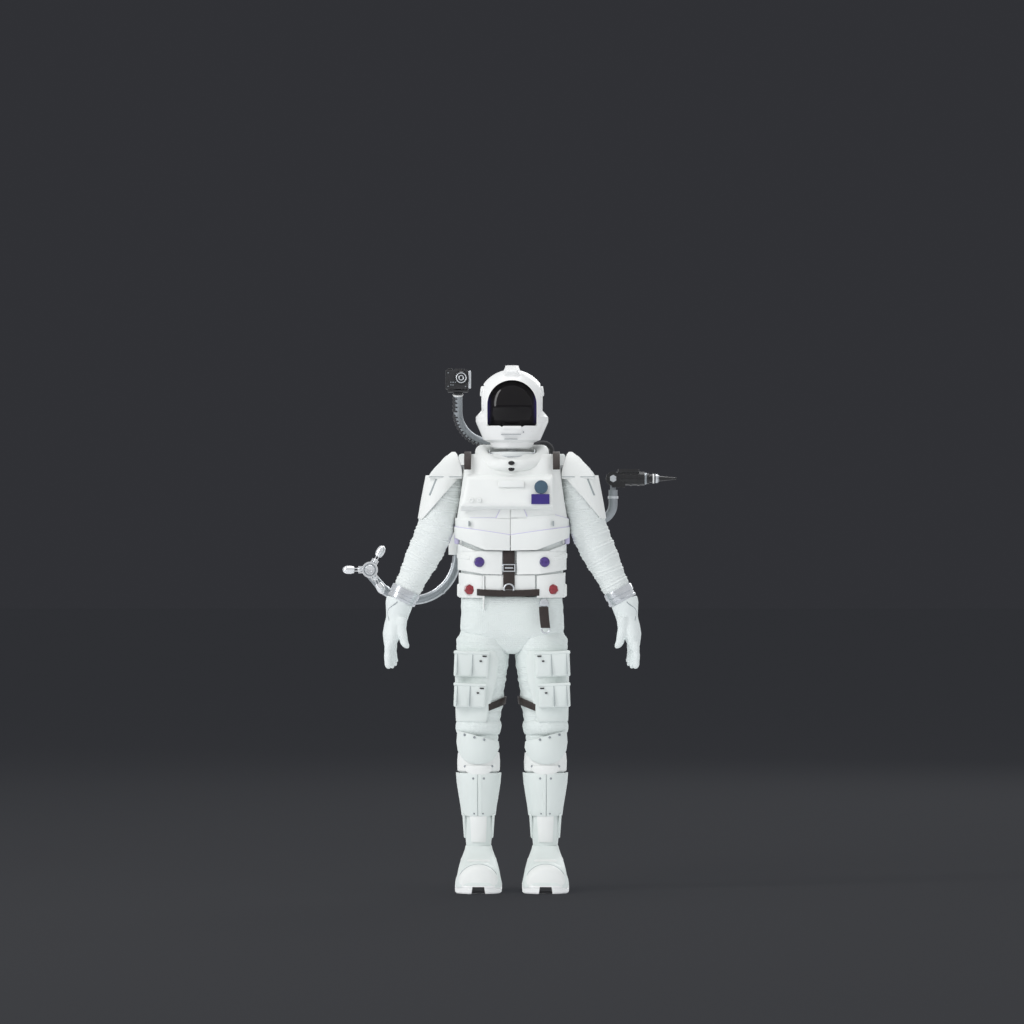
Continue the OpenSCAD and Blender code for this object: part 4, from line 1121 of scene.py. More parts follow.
pad = loft("shoulder_pad_l", [
    (23.8, 0, 148.0, 11.4, 14.2, 0), (23.8, 0, 148.2, 12.0, 14.8, 0),
    (23.5, 0, 149.6, 11.5, 14.8, 0), (23.0, 0, 151.4, 10.0, 14.2, 0),
    (22.4, 0, 153.4, 7.8, 13.0, 0), (21.8, 0, 155.3, 5.4, 11.2, 0),
    (21.2, 0, 156.9, 2.9, 8.8, 0), (21.0, 0, 157.7, 1.2, 6.8, 0)], 44, 0.55)
soften(pad, 0.35, 3, 25)
both(done(pad, 40), VEST, "upper_arm", "shoulder_cap", ("shoulder_cap",))
line = loft("pad_line_l", [(23.75, 0, 148.55, 12.0, 14.9, 0), (23.7, 0, 148.7, 12.1, 15.0, 0),
                           (23.65, 0, 148.85, 12.0, 14.9, 0)], 44, 0.55)
both(line, SEAM, "upper_arm", "shoulder_cap")

arm_skin = loft("arm_skin", [(*step_along(SHOULDER, UPPER_LEAN, run), wide, wide, -UPPER_LEAN)
                             for run, wide in ((-1, 13.9), (3, 14.0), (8, 13.9), (13, 13.8),
                                               (18.6, 13.7))], 48)
plate = panel(arm_skin, "arm_plate_l",
              [((19.2, 0, 148.6), (-0.78, 0, -0.66)), ((32.6, 0, 132.6), (0.25, 0, -1)),
               ((23, 0, 149.2), (0, 0, 1))], 0.55, 0.18)
both(plate, VEST, "upper_arm", "arm_plate", ("arm_plate",))
groove = panel(arm_skin, "arm_groove_l", outline((28.9, 142.0), (29.5, 142.0), (27.0, 148.4),
                                                (26.4, 148.4)), 0.64, 0.05)
slice_off(groove, [((0, 0, 0), (0, 1, 0))])
both(done(groove), SEAM, "upper_arm", "arm_plate")
drop(arm_skin)
print("shoulder armour done")

# %% [markdown]
# ## Gloves
# A glove is built from simple lofts for the cuff, the palm, four fingers and a thumb. They are
# joined, remeshed into one skin and smoothed, as if the rubber had been poured over them.

# %% Gloves
HAND_LEAN = 9.4
HAND_TURN = 84
HAND_AT = step_along(WRIST, FORE_LEAN, 3.6)


def finger(x, y, top, length, wide, curl, turn=0.0, lean=0.0):
    rings = []
    for part, size in ((0.0, 1.0), (0.22, 1.04), (0.36, 0.9), (0.5, 0.98), (0.66, 0.92),
                       (0.74, 0.84), (0.86, 0.88), (0.95, 0.7), (1.0, 0.34)):
        rings.append((x, y - curl * part * part, top - length * part, wide * size, wide * size, 0))
    piece = loft("finger", rings, 20)
    if turn or lean:
        centre = at(x, y, top)
        place(piece, Matrix.Translation(centre) @ Matrix.Rotation(math.radians(lean), 4, "Y")
              @ Matrix.Rotation(math.radians(turn), 4, "X") @ Matrix.Translation(-centre))
    return piece


parts = [loft("cuff", [(0, 0, 2.0, 9.7, 9.7, 0), (0, 0, -0.2, 9.9, 9.9, 0),
                       (0, 0, -2.4, 9.0, 9.0, 0), (0, 0, -4.2, 8.1, 8.2, 0),
                       (0, 0, -5.6, 7.7, 7.8, 0), (0, -0.3, -7.4, 7.9, 7.4, 0)], 40),
         loft("palm", [(0, 0, -5.0, 7.4, 7.2, 0), (0, -0.5, -8.0, 8.4, 7.2, 0),
                       (0, -0.9, -11.7, 9.0, 6.4, 0), (0, -0.9, -14.5, 8.8, 4.8, 0),
                       (0, -0.8, -16.2, 8.2, 3.8, 0), (0, -0.7, -17.0, 7.0, 2.6, 0)], 40)]
for i, (length, wide, curl) in enumerate(((9.2, 2.8, -1.2), (8.9, 2.8, -1.9), (7.9, 2.7, -2.3),
                                          (6.6, 2.4, -1.9))):
    parts.append(finger(-3.1 + 2.15 * i, -1.6 + 0.8 * i, -14.6, length, wide, curl, 0,
                        2.0 - 1.6 * i))
parts.append(finger(-3.2, 1.5, -4.6, 10.9, 3.8, -3.4))
for part in parts:
    lean_at(part, (0.2, 0, 0), 0, HAND_TURN)
glove = join(parts, "glove_skin_l")
modify(glove, "REMESH", mode="VOXEL", voxel_size=0.3 * MM)
modify(glove, "SMOOTH", factor=0.5, iterations=5)
lean_at(glove, HAND_AT, HAND_LEAN)
both(done(glove, 60), GLOVE, "hand", "glove", ("glove",))
swirl = []
for i in range(12):
    turn = math.radians(62 - 2.4 * i + 17 * math.sin(i * 0.5 + 1.6))
    fall = 0.5 - 0.66 * i
    deep = max(3.98, min(5.02, 5.06 + 0.225 * fall))
    swirl.append((deep * math.cos(turn), -deep * math.sin(turn), fall))
line = ribbon("glove_line_l", swirl, 0.42, 0.3, "X", 0.05)
lean_at(line, HAND_AT, HAND_LEAN)
both(line, SEAM, "hand", "glove")
print("glove", len(glove.data.polygons))

# %% Wrist rings
ring = disc("wrist_ring_l", (0, 0, 0), (0, 0, 1), [
    (-2.6, 4.5), (-2.6, 5.1), (-2.3, 5.3), (-1.7, 5.3), (-1.5, 5.05), (-0.3, 5.05), (-0.1, 5.36),
    (1.7, 5.36), (2.1, 5.2), (2.1, 4.5)], 56)
lean_at(ring, WRIST, FORE_LEAN)
both(ring, STEEL, "hand", "wrist_cuff", ("wrist_cuff",))
print("wrists done")

# %% [markdown]
# ## Pouches
# Two square pouches hang one above the other outside each thigh. A block is drawn in at the bottom
# and bevelled, and gets a lip along its top, a seam down its front and two small press marks.

# %% Pouches
THIGH_LEAN = 2.4


def pouch(name, low, high, seam, marks):
    body = block(name + "_l", low, high)
    pick(body, lambda c, n: n.y < -0.6)
    bpy.ops.mesh.inset(thickness=0.9 * MM)
    bpy.ops.transform.translate(value=(0, -0.4 * MM, 0))
    bpy.ops.object.mode_set(mode="OBJECT")
    pick(body, lambda c: c.y < at(0, low[1] + 1, 0).y and c.z < (low[2] + 2) * MM, "VERT")
    bpy.ops.transform.translate(value=(0, 0.7 * MM, 0.2 * MM))
    bpy.ops.object.mode_set(mode="OBJECT")
    soften(body, 0.5, 3, 20)
    lip = block(name + "_lip_l", (low[0] - 0.15, low[1] - 0.55, high[2] - 0.9),
                (high[0] + 0.3, low[1] + 3, high[2] + 0.15), 0.3, 3)
    line = join([block("line", (seam - 0.1, low[1] - 0.5, low[2] + 0.5),
                       (seam + 0.1, low[1] + 0.2, high[2] - 0.9), 0.05),
                 block("line", (high[0] - 1.2, low[1] - 0.47, low[2] + 0.5),
                       (high[0] - 1.05, low[1] + 0.2, high[2] - 0.9), 0.05)],
                name + "_seam_l")
    dots = join([block("mark", (x - w / 2, low[1] - 0.68, z - 0.25),
                       (x + w / 2, low[1] - 0.2, z + 0.25), 0.1) for x, z, w in marks],
                name + "_marks_l")
    for piece, finish, instead in ((body, ARMOUR, ("pouches",)), (lip, ARMOUR, ()),
                                   (line, SEAM, ()), (dots, GLOSS_BLACK, ())):
        lean_at(done(piece), HIP, THIGH_LEAN)
        both(piece, finish, "thigh", "pouches", instead)


pouch("pouch_upper", (-2.4, -11.4, -12.3), (10.0, -1.0, -3.1), 3.45,
      [(-0.8, -4.5, 1.5), (0.5, -6.3, 0.9)])
pouch("pouch_lower", (-1.8, -11.8, -23.2), (9.6, -1.0, -14.5), 3.9,
      [(-0.3, -16.0, 1.5), (1.1, -17.7, 0.9)])
print("pouches done")

# %% [markdown]
# ## Thigh panels
# A wider panel curves down beside the pouches, and a dark strap crosses the inside of the thigh.
# Both are cut from a smooth skin that is lofted round the thigh.

# %% Thigh panels and straps
thigh_skin = loft("thigh_skin", [
    (10.4 + (89 - z) * 0.042, 0, z, w, w * 1.01, 0) for z, w in
    ((58, 15.4), (62, 16.4), (68, 17.2), (75, 18.0), (82, 18.6), (88, 18.8))], 56)
slice_off(thigh_skin, [((0, 3.5, 0), (0, 1, 0))])
side_panel = panel(thigh_skin, "thigh_panel_l", outline(
    (9.4, 61.0), (24, 61.0), (24, 86.4), (6.4, 86.4), (4.8, 83.0), (5.8, 76.0)), 0.5, 0.25)
both(side_panel, ARMOUR, "thigh", "thigh")
strap = panel(thigh_skin, "thigh_strap_l", outline(
    (1.0, 67.8), (8.6, 64.8), (8.6, 67.3), (1.0, 70.6)), 0.45, 0.15, 0.1)
both(strap, LEATHER, "thigh", "thigh")
drop(thigh_skin)

# %% [markdown]
# ## Knees and shins
# A domed knee shield hangs from the thigh over a band that belongs to the shin. Below it is a shin
# guard in two halves with a raised strip. Small rivets hold the corners.

# %% Knee and shin plates
K = KNEE_X


def rivets(name, skin_at, places, size=0.42):
    made = [disc("rivet", (K + x, skin_at(x, z), z), (x * 0.12, -1, 0),
                 [(-0.5, size), (0.12, size), (0.26, size * 0.7), (0.3, size * 0.2)], 12)
            for x, z in places]
    return join(made, name)


def oval(wide, deep, y=0.0):
    """The front of an oval section of this width and depth."""
    return lambda x, z: y - (deep / 2) * math.sqrt(max(0.05, 1 - (2 * x / wide) ** 2))


roll = loft("knee_roll_l", [(K, 0, 61.4, 15.0, 15.4, 0), (K, 0, 60.7, 16.0, 16.4, 0),
                            (K, 0, 59.4, 16.6, 17.0, 0), (K + 0.1, 0, 58.2, 16.4, 16.8, 0),
                            (K + 0.1, 0, 57.0, 15.8, 16.2, 0), (K, 0, 56.2, 14.8, 15.0, 0)], 48)
both(done(rumple(roll, 5.0, 0.4), 60), SUIT_LEG, "thigh", "thigh")
knee_skin = loft("knee_skin", [(K, 0, z, w, w * 1.12, 0) for z, w in (
    (45.4, 12.6), (46.2, 13.8), (47.6, 15.1), (50, 16.2), (53, 16.6), (56, 16.1), (58.6, 15.0))],
    48)
slice_off(knee_skin, [((0, -0.8, 0), (0, 1, 0))])
shield = panel(knee_skin, "knee_shield_l", outline(
    (K - 2.2, 46.3), (K + 0.4, 46.0), (K + 3.0, 46.4), (K + 5.4, 48.0), (K + 6.9, 50.6),
    (K + 7.3, 53.6), (K + 7.0, 57.8), (K + 1.6, 56.2), (K - 6.6, 54.2), (K - 6.9, 51.6),
    (K - 5.9, 48.9), (K - 4.4, 47.3)), 0.7, 0.3)
both(shield, ARMOUR, "thigh", "thigh")
both(rivets("knee_rivets_l", oval(18.0, 20.0), [(5.1, 56.3), (1.5, 55.4), (-2.0, 54.6)]), DULL_METAL_AND_HUB_SHADE,
     "thigh", "thigh")
drop(knee_skin)

band = loft("shin_band_l", [(K, 0, 49.8, 14.0, 14.2, 0), (K, 0, 49.5, 14.9, 15.1, 0),
                            (K, 0, 46.6, 15.4, 15.6, 0), (K, 0, 43.3, 15.2, 15.4, 0),
                            (K, 0, 42.9, 14.6, 14.8, 0)], 48)
both(band, VEST, "shin", "shin")
tab_skin = loft("tab_skin", [(K, 0, 40.5, 15.4, 15.7, 0), (K, 0, 45.6, 15.7, 15.9, 0)], 48)
slice_off(tab_skin, [((0, -1, 0), (0, 1, 0))])
tab = panel(tab_skin, "shin_tab_l", outline((K - 3.1, 42.0), (K + 3.1, 42.0), (K + 5.0, 43.6),
                                            (K + 5.0, 45.2), (K - 5.0, 45.2), (K - 5.0, 43.6)),
            0.3, 0.12)
both(tab, VEST, "shin", "shin")
drop(tab_skin)
both(rivets("band_rivets_l", oval(15.9, 16.4), [(-4.9, 44.9), (4.9, 44.9)]), DULL_METAL_AND_HUB_SHADE, "shin", "shin")
guard_skin = loft("guard_skin", [(K, 0, 27.0, 11.0, 11.8, 0), (K, 0, 30.0, 11.7, 12.4, 0),
                                 (K, 0, 34.5, 13.2, 13.6, 0), (K, 0, 39, 14.6, 14.8, 0),
                                 (K, 0, 42.9, 15.2, 15.2, 0)], 48)
slice_off(guard_skin, [((0, 0.9, 0), (0, 1, 0))])
for name, corners in (
        ("shin_guard_in_l", [(K - 5.6, 27.2), (K - 0.35, 27.0), (K - 0.35, 42.5), (K - 7.9, 42.5)]),
        ("shin_guard_out_l", [(K + 0.35, 27.0), (K + 5.6, 27.2), (K + 7.9, 42.5),
                              (K + 0.35, 42.5)])):
    both(panel(guard_skin, name, outline(*corners), 0.6, 0.25), ARMOUR, "shin", "shin_guard",
         ("shin_guard",))
strip = panel(guard_skin, "shin_strip_l", outline((K - 1.0, 27.1), (K + 0.15, 27.1),
                                                  (K + 0.2, 42.0), (K - 1.1, 42.0)), 0.72, 0.15)
both(strip, ARMOUR, "shin", "shin_guard")
gap = panel(guard_skin, "shin_gap_l", outline((K - 0.6, 27.4), (K + 0.6, 27.4), (K + 0.6, 42.2),
                                              (K - 0.6, 42.2)), 0.3, 0)
both(gap, SEAM, "shin", "shin_guard")
both(rivets("shin_rivets_l", oval(15.6, 16.0), [(-1.9, 40.6), (1.9, 40.6)]), DULL_METAL_AND_HUB_SHADE, "shin",
     "shin_guard")
both(rivets("guard_rivets_l", oval(12.2, 13.1), [(-1.6, 27.9), (1.6, 27.9)], 0.3), DULL_METAL_AND_HUB_SHADE, "shin",
     "shin_guard")
drop(guard_skin)
print("leg plates done")

# %% [markdown]
# ## Boots
# The shaft belongs to the shin and ends in a soft gaiter, and the rest belongs to the foot. The
# upper spreads from the ankle to the sole, and a domed toe cap sits in a raised rand.

# %% Boot shaft
shaft = loft("boot_shaft_l", [
    (K, 0, 28.4, 10.6, 11.2, 0), (K, 0, 28.0, 11.0, 11.6, 0), (K, 0, 24.0, 10.4, 11.2, 0),
    (K, 0, 20.0, 9.7, 10.6, 0), (K, 0, 18.0, 9.2, 10.0, 0), (K, 0, 16.4, 8.9, 9.6, 0),
    (K, 0, 14.6, 8.4, 8.8, 0)], 44)
both(shaft, ARMOUR, "shin", "shin")
shaft_skin = loft("shaft_skin", [(K, 0, 17.4, 9.2, 10.1, 0), (K, 0, 20.0, 9.8, 10.7, 0),
                                 (K, 0, 24.0, 10.5, 11.3, 0), (K, 0, 28.0, 11.1, 11.7, 0)], 44)
slice_off(shaft_skin, [((0, -1.5, 0), (0, 1, 0))])
tongue = panel(shaft_skin, "boot_tongue_l", outline(
    (K - 2.4, 17.6), (K + 2.4, 17.6), (K + 2.9, 27.2), (K - 2.9, 27.2)), 0.5, 0.2)
both(tongue, VEST, "shin", "shin")
drop(shaft_skin)
for name, sign in (("boot_fin_out_l", 1), ("boot_fin_in_l", -1)):
    x = K + sign * 5.3
    fin = block(name, (x - 0.55, -4.2, 18.9), (x + 0.55, 4.2, 27.8))
    pick(fin, lambda c: c.z < 0.02, "VERT")
    bpy.ops.transform.resize(value=(1, 0.45, 1), center_override=at(x, 0, 19))
    bpy.ops.transform.translate(value=(-sign * 0.6 * MM, 0, 0))
    bpy.ops.object.mode_set(mode="OBJECT")
    both(done(soften(fin, 0.45, 3, 25)), ARMOUR, "shin", "shin")

# %% Boot upper, toe and sole
upper = loft("boot_upper_l", [
    (K, -5.0, 2.2, 16.2, 33.4, 0), (K, -5.0, 3.0, 16.4, 33.6, 0), (K, -4.9, 5.0, 15.6, 31.8, 0),
    (K, -4.2, 7.4, 14.7, 28.6, 0), (K, -3.0, 9.6, 13.6, 24.0, 0), (K, -1.6, 11.4, 12.4, 18.6, 0),
    (K, -0.5, 13.2, 11.0, 14.4, 0), (K, 0.1, 14.8, 9.9, 11.8, 0), (K, 0.2, 15.8, 9.5, 10.8, 0),
    (K, 0.2, 16.2, 9.0, 10.0, 0)], 40, 4.9)
both(upper, ARMOUR, "foot", "foot", ("foot",))


def toe(name, half, top, y, deep, finish):
    """An arched shell over the toe: an arch of points pushed back and swollen in the middle."""
    points = [(half * math.cos(math.pi * i / 24), 2.4 + top * math.sin(math.pi * i / 24) ** 0.9)
              for i in range(25)]
    clear()
    bpy.ops.mesh.primitive_circle_add(vertices=25, radius=0.01, fill_type="NGON")
    shape = bpy.context.object
    shape.name = shape.data.name = name
    for point, (x, z) in zip(shape.data.vertices, points):
        point.co = at(K + x, y, z)
    pick(shape)
    for push, grow in ((0.9, 0.99), (1.2, 0.965), (1.2, 0.92), (1.1, 0.84)):
        bpy.ops.mesh.extrude_region_move(TRANSFORM_OT_translate={"value": (0, -push * MM, 0)})
        bpy.ops.transform.resize(value=(grow, 1, grow), center_override=at(K, y, 2.4))
    bpy.ops.object.mode_set(mode="OBJECT")
    pick(shape, lambda c, n: n.y > 0.9)
    bpy.ops.mesh.extrude_region_move(TRANSFORM_OT_translate={"value": (0, deep * MM, 0)})
    bpy.ops.transform.resize(value=(1, 1, 0.9), center_override=at(K, y, 2.4))
    bpy.ops.object.mode_set(mode="OBJECT")
    both(done(shape, 50), finish, "foot", "foot")


toe("boot_rand_l", 8.35, 8.9, -14.4, 5.0, ARMOUR)
toe("boot_groove_l", 7.95, 8.35, -15.5, 4.0, SEAM)
toe("boot_cap_l", 7.6, 8.0, -16.9, 4.0, VEST)
crease = loft("boot_crease_l", [(K, -2.1, 11.0, 12.9, 20.2, 0), (K, -1.8, 11.4, 12.6, 19.2, 0),
                                (K, -1.5, 11.8, 12.2, 17.9, 0)], 40, 4.9)
both(crease, VEST, "foot", "foot")
sole = loft("boot_sole_l", [
    (K, -5.3, 0.0, 15.6, 33.8, 0), (K, -5.3, 0.5, 16.6, 34.8, 0), (K, -5.3, 1.6, 16.8, 35.0, 0),
    (K, -5.3, 1.8, 16.3, 34.5, 0), (K, -5.3, 2.1, 16.3, 34.5, 0), (K, -5.3, 2.3, 16.8, 35.0, 0),
    (K, -5.3, 2.9, 16.6, 34.8, 0)], 40, 7.0)
notch = block("notch", (K - 2.6, -25, -1), (K + 2.6, -20.4, 2.5))
pick(notch, lambda c: c.z > 0.001, "VERT")
bpy.ops.transform.resize(value=(0.8, 1, 1), center_override=at(K, 0, 0))
bpy.ops.object.mode_set(mode="OBJECT")
cut(sole, notch)
both(done(sole), SHELL, "foot", "foot")
tread = block("boot_tread_l", (K - 4.6, -20.9, 0.1), (K + 4.6, 9.6, 1.2), 0.3)
both(done(tread), RUBBER_AND_BOOM_SHADE, "foot", "foot")
insert = block("boot_notch_l", (K - 2.3, -21.9, 1.1), (K + 2.3, -20.0, 2.5), 0.15)
both(done(insert), BLACK, "foot", "foot")
print("boots done")

# %% [markdown]
# ## Camera and boom
# The camera is a textured black block with a bright side cheek. The boom gets black ribs on its
# outer half: short discs, each set a little outwards, so that they sink into the bare tube on the
# inner side. The ribs are real, and their black is painted shade for the boom's side away from the
# light.

# %% Camera
body = block("camera_body", (-24.0, 6.0, 180.4), (-15.7, 12.7, 187.3))
pick(body, lambda c, n: n.y < -0.6)
bpy.ops.mesh.inset(thickness=0.55 * MM)
bpy.ops.transform.translate(value=(0, 0.35 * MM, 0))
bpy.ops.object.mode_set(mode="OBJECT")
soften(body, 0.3, 3, 25)
dress(done(body), BLACK, "camera", None, ("camera",))
cheek = block("camera_cheek", (-15.75, 6.15, 180.7), (-14.8, 12.6, 187.0))
soften(cheek, 0.3, 3, 25)
dress(done(cheek), STEEL, "camera", "camera")
lens_at = (-18.3, 6.4, 184.5)
dress(disc("camera_lens", lens_at, (0, -1, 0), [
    (-0.5, 2.35), (0.5, 2.35), (0.75, 2.15), (0.75, 1.75), (0.35, 1.6), (0.3, 0.9), (0.5, 0.5),
    (0.52, 0.1)], 40), GLOSS_BLACK, "camera", "camera")
for name, r in (("camera_ring", 1.75), ("camera_iris", 0.8)):
    dress(disc(name, lens_at, (0, -1, 0), [(0.3, r - 0.16), (0.8, r - 0.16), (0.88, r),
                                           (0.8, r + 0.16), (0.3, r + 0.16)], 40),
          STEEL, "camera", "camera")
keys = [block("key", (a, 7.4, 187.1), (b, 10.8, top), 0.2)
        for a, b, top in ((-23.2, -21.5, 187.9), (-20.6, -17.1, 187.7))]
dress(done(join(keys, "camera_keys")), GLOSS_BLACK, "camera", "camera")
studs = [disc("stud", (x, 6.2, z), (0, -1, 0), [(-0.2, 0.22), (0.3, 0.22), (0.36, 0.1)], 10)
         for x, z in ((-23.0, 181.4), (-23.0, 186.3), (-16.7, 181.4), (-22.0, 182.9),
                      (-21.2, 182.9), (-20.4, 182.9), (-22.0, 181.9), (-21.2, 181.9))]
dress(join(studs, "camera_studs"), DULL_METAL_AND_HUB_SHADE, "camera", "camera")
yoke = join([block("yoke", (-23.2, 7.0, 179.3), (-15.8, 12.0, 180.3), 0.25),
             block("yoke", (-21.0, 8.4, 178.4), (-17.8, 12.4, 179.4), 0.3)], "camera_yoke")
dress(done(yoke), BLACK, "camera", "camera")
dress(disc("camera_washer", (-19.5, 10.6, 178.1), (0, -0.31, 0.95), [
    (0, 1.75), (0.15, 1.9), (0.5, 1.9), (0.65, 1.75)], 32), SHELL, "camera", "camera")
print("camera done")

# %% Ribbed boom, with painted shade on its outer half
BOOM_AT, LEAN = (-4.5, 18, 156.5), math.radians(18)
steps = []
for i in range(25):
    turn = math.radians(266 - 3.4 * i)
    steps.append((-3.3 + 11.7 * math.cos(turn), 16.6 + 11.7 * math.sin(turn), turn))
for i in range(7):
    steps.append((-15.0, 17.2 + 0.78 * i, math.pi))
ribs = []
for i, (x, z, turn) in enumerate(steps):
    out, size = (0.42, 1.62) if i % 2 else (0.36, 1.44)
    ribs.append(disc("rib", (x + out * math.cos(turn), 0, z + out * math.sin(turn)),
                     (math.sin(turn), 0, -math.cos(turn)),
                     [(-0.36, size - 0.15), (-0.26, size), (0.26, size), (0.36, size - 0.15)], 20))
sleeve = join(ribs, "boom_ribs")
place(sleeve, Matrix.Translation(at(*BOOM_AT)) @ Matrix.Rotation(LEAN, 4, "X")
      @ Matrix.Translation(-at(0, 0, 0)))
# The ribs are real; the black of this ribbed outer half is painted shade for the side of the boom
# in shade.
dress(sleeve, RUBBER_AND_BOOM_SHADE, "camera_boom", "camera_boom")
print("boom ribs", len(ribs))

# %% [markdown]
# ## Claw and driver
# The claw arm carries two bright rails along its bow, and its hub is a stack of turned rings, where
# a darker metal ring between rim and cap is painted shade for the groove. The driver gets ribs, a
# hex bolt at the pivot and a white ring on its nozzle.

# %% Claw arm
BOW = (-36.0, 120.2)
for name, r in (("claw_rail_in", 14.75), ("claw_rail_out", 17.25)):
    clear()
    bpy.ops.mesh.primitive_torus_add(location=at(BOW[0], 17.6, BOW[1]), major_radius=r * MM,
                                     minor_radius=0.42 * MM, major_segments=120, minor_segments=10,
                                     rotation=(math.radians(90), 0, 0))
    rail = bpy.context.object
    rail.name = rail.data.name = name
    place(rail, rail.matrix_world.copy())
    slice_off(rail, [((BOW[0], 0, BOW[1] - 2.6), (0, 0, 1)),
                     ((BOW[0], 0, BOW[1]), (-0.643, 0, 0.766))])
    pick(rail, None, "EDGE")
    bpy.ops.mesh.fill_holes(sides=0)
    bpy.ops.object.mode_set(mode="OBJECT")
    dress(done(rail), STEEL, "claw_arm", "claw_arm")
ferrules = []
for degrees in (-12, -50, -90, -128):
    turn = math.radians(degrees)
    ferrules.append(disc("ferrule", (BOW[0] + 16 * math.cos(turn), 18.4,
                                     BOW[1] + 16 * math.sin(turn)),
                         (-math.sin(turn), 0, math.cos(turn)),
                         [(-0.5, 1.6), (-0.45, 1.85), (0.45, 1.85), (0.5, 1.6)], 28))
dress(join(ferrules, "claw_ferrules"), DULL_METAL_AND_HUB_SHADE, "claw_arm", "claw_arm")
HUB = (-51.4, 115.2)
for name, rings, finish in (
        ("claw_hub_rim", [(-0.2, 2.2), (-0.2, 2.75), (0.15, 2.9), (0.5, 2.75), (0.5, 2.2)], CHROME),
        # This darker ring between the chrome rim and cap is painted shade for the hub's groove.
        ("claw_hub_well", [(0.05, 1.5), (0.05, 2.25), (0.62, 2.25), (0.62, 1.5)], DULL_METAL_AND_HUB_SHADE),
        ("claw_hub_cap", [(0.1, 1.75), (0.7, 1.8), (0.9, 1.65), (0.92, 0.9), (0.8, 0.8),
                          (0.82, 0.2)], CHROME)):
    dress(disc(name, (HUB[0], 14.1, HUB[1]), (0, -1, 0), rings, 40), finish, "claw_hub",
          "claw_hub")
for letter, degrees in (("a", 60), ("b", 180), ("c", 300)):
    turn = math.radians(degrees)
    ways = Vector((math.cos(turn), 0, math.sin(turn)))
    tip = Vector((HUB[0], 15.3, HUB[1])) + ways * 9.0
    cap = disc("claw_tip_" + letter, tuple(tip - ways * 1.1), tuple(ways), [
        (-2.3, 0.7), (-2.1, 1.2), (-0.8, 1.5), (0.6, 1.45), (1.3, 1.15), (1.8, 0.7), (2.0, 0.2)],
        24)
    knuckle = disc("knuckle", tuple(tip - ways * 4.9), tuple(ways), [
        (-0.35, 0.55), (-0.3, 0.78), (0.3, 0.78), (0.35, 0.55)], 20)
    dress(join([cap, knuckle], "claw_tip_" + letter), CHROME, "claw_finger_" + letter,
          "claw_finger_" + letter)
print("claw done")

# %% Driver
TOOL = (36.6, 17.0, 148.2)
for name, x, rings, finish, body in (
        ("driver_rib_a", 40.2, [(-0.4, 2.3), (-0.35, 2.62), (0.35, 2.62), (0.4, 2.3)], GLOSS_BLACK,
         "tool_body"),
        ("driver_rib_b", 43.0, [(-0.4, 2.3), (-0.35, 2.62), (0.35, 2.62), (0.4, 2.3)], GLOSS_BLACK,
         "tool_body"),
        ("driver_rib_c", 45.8, [(-0.4, 2.3), (-0.35, 2.62), (0.35, 2.62), (0.4, 2.3)], GLOSS_BLACK,
         "tool_body"),
        ("driver_nose", 48.2, [(-0.3, 1.9), (-0.3, 2.15), (0.3, 2.15), (0.6, 1.9)], DULL_METAL_AND_HUB_SHADE,
         "tool_body"),
        ("driver_ring", 51.2, [(-0.3, 1.4), (-0.25, 1.72), (0.25, 1.72), (0.3, 1.4)], SHELL,
         "tool_bit"),
        ("driver_chuck", 52.3, [(-0.35, 1.4), (-0.3, 1.62), (0.5, 1.5), (0.9, 1.1)], STEEL,
         "tool_bit")):
    dress(disc(name, (x, TOOL[1], TOOL[2]), (1, 0, 0), rings, 36), finish, body, body)
bolt = disc("driver_bolt", (TOOL[0], 14.6, TOOL[2]), (0, -1, 0), [
    (-0.3, 1.35), (0.35, 1.35), (0.5, 1.2), (0.5, 0.6), (0.3, 0.5), (0.3, 0.1)], 6)
dress(bolt, STEEL, "tool_body", "tool_body")
grip = block("driver_grip", (38.4, 14.9, 150.4), (46.0, 18.8, 151.7))
pick(grip, lambda c, n: n.z > 0.6)
bpy.ops.mesh.inset(thickness=0.5 * MM)
bpy.ops.transform.translate(value=(0, 0, -0.25 * MM))
bpy.ops.object.mode_set(mode="OBJECT")
dress(done(soften(grip, 0.25, 2, 25)), GLOSS_BLACK, "tool_body", "tool_body")
cuffs = [disc("cuff", (23.0, 17, 133.0), (1, 0, 0), [(-0.7, 1.6), (-0.7, 2.1), (0.5, 2.1),
                                                     (0.7, 1.6)], 32),
         disc("cuff", (36.6, 17, 141.4), (0, 0, 1), [(-0.5, 1.6), (-0.45, 1.9), (0.45, 1.9),
                                                     (0.5, 1.6)], 32)]
dress(join(cuffs, "tool_arm_cuffs"), STEEL, "tool_arm", "tool_arm")
print("driver done")

# %% [markdown]
# ## Backpack
# The pack stays a hard moulded case. It gets rounded corner guards, a frame round its lid, a
# carrying handle and a hose port, in the same plain style as the front.

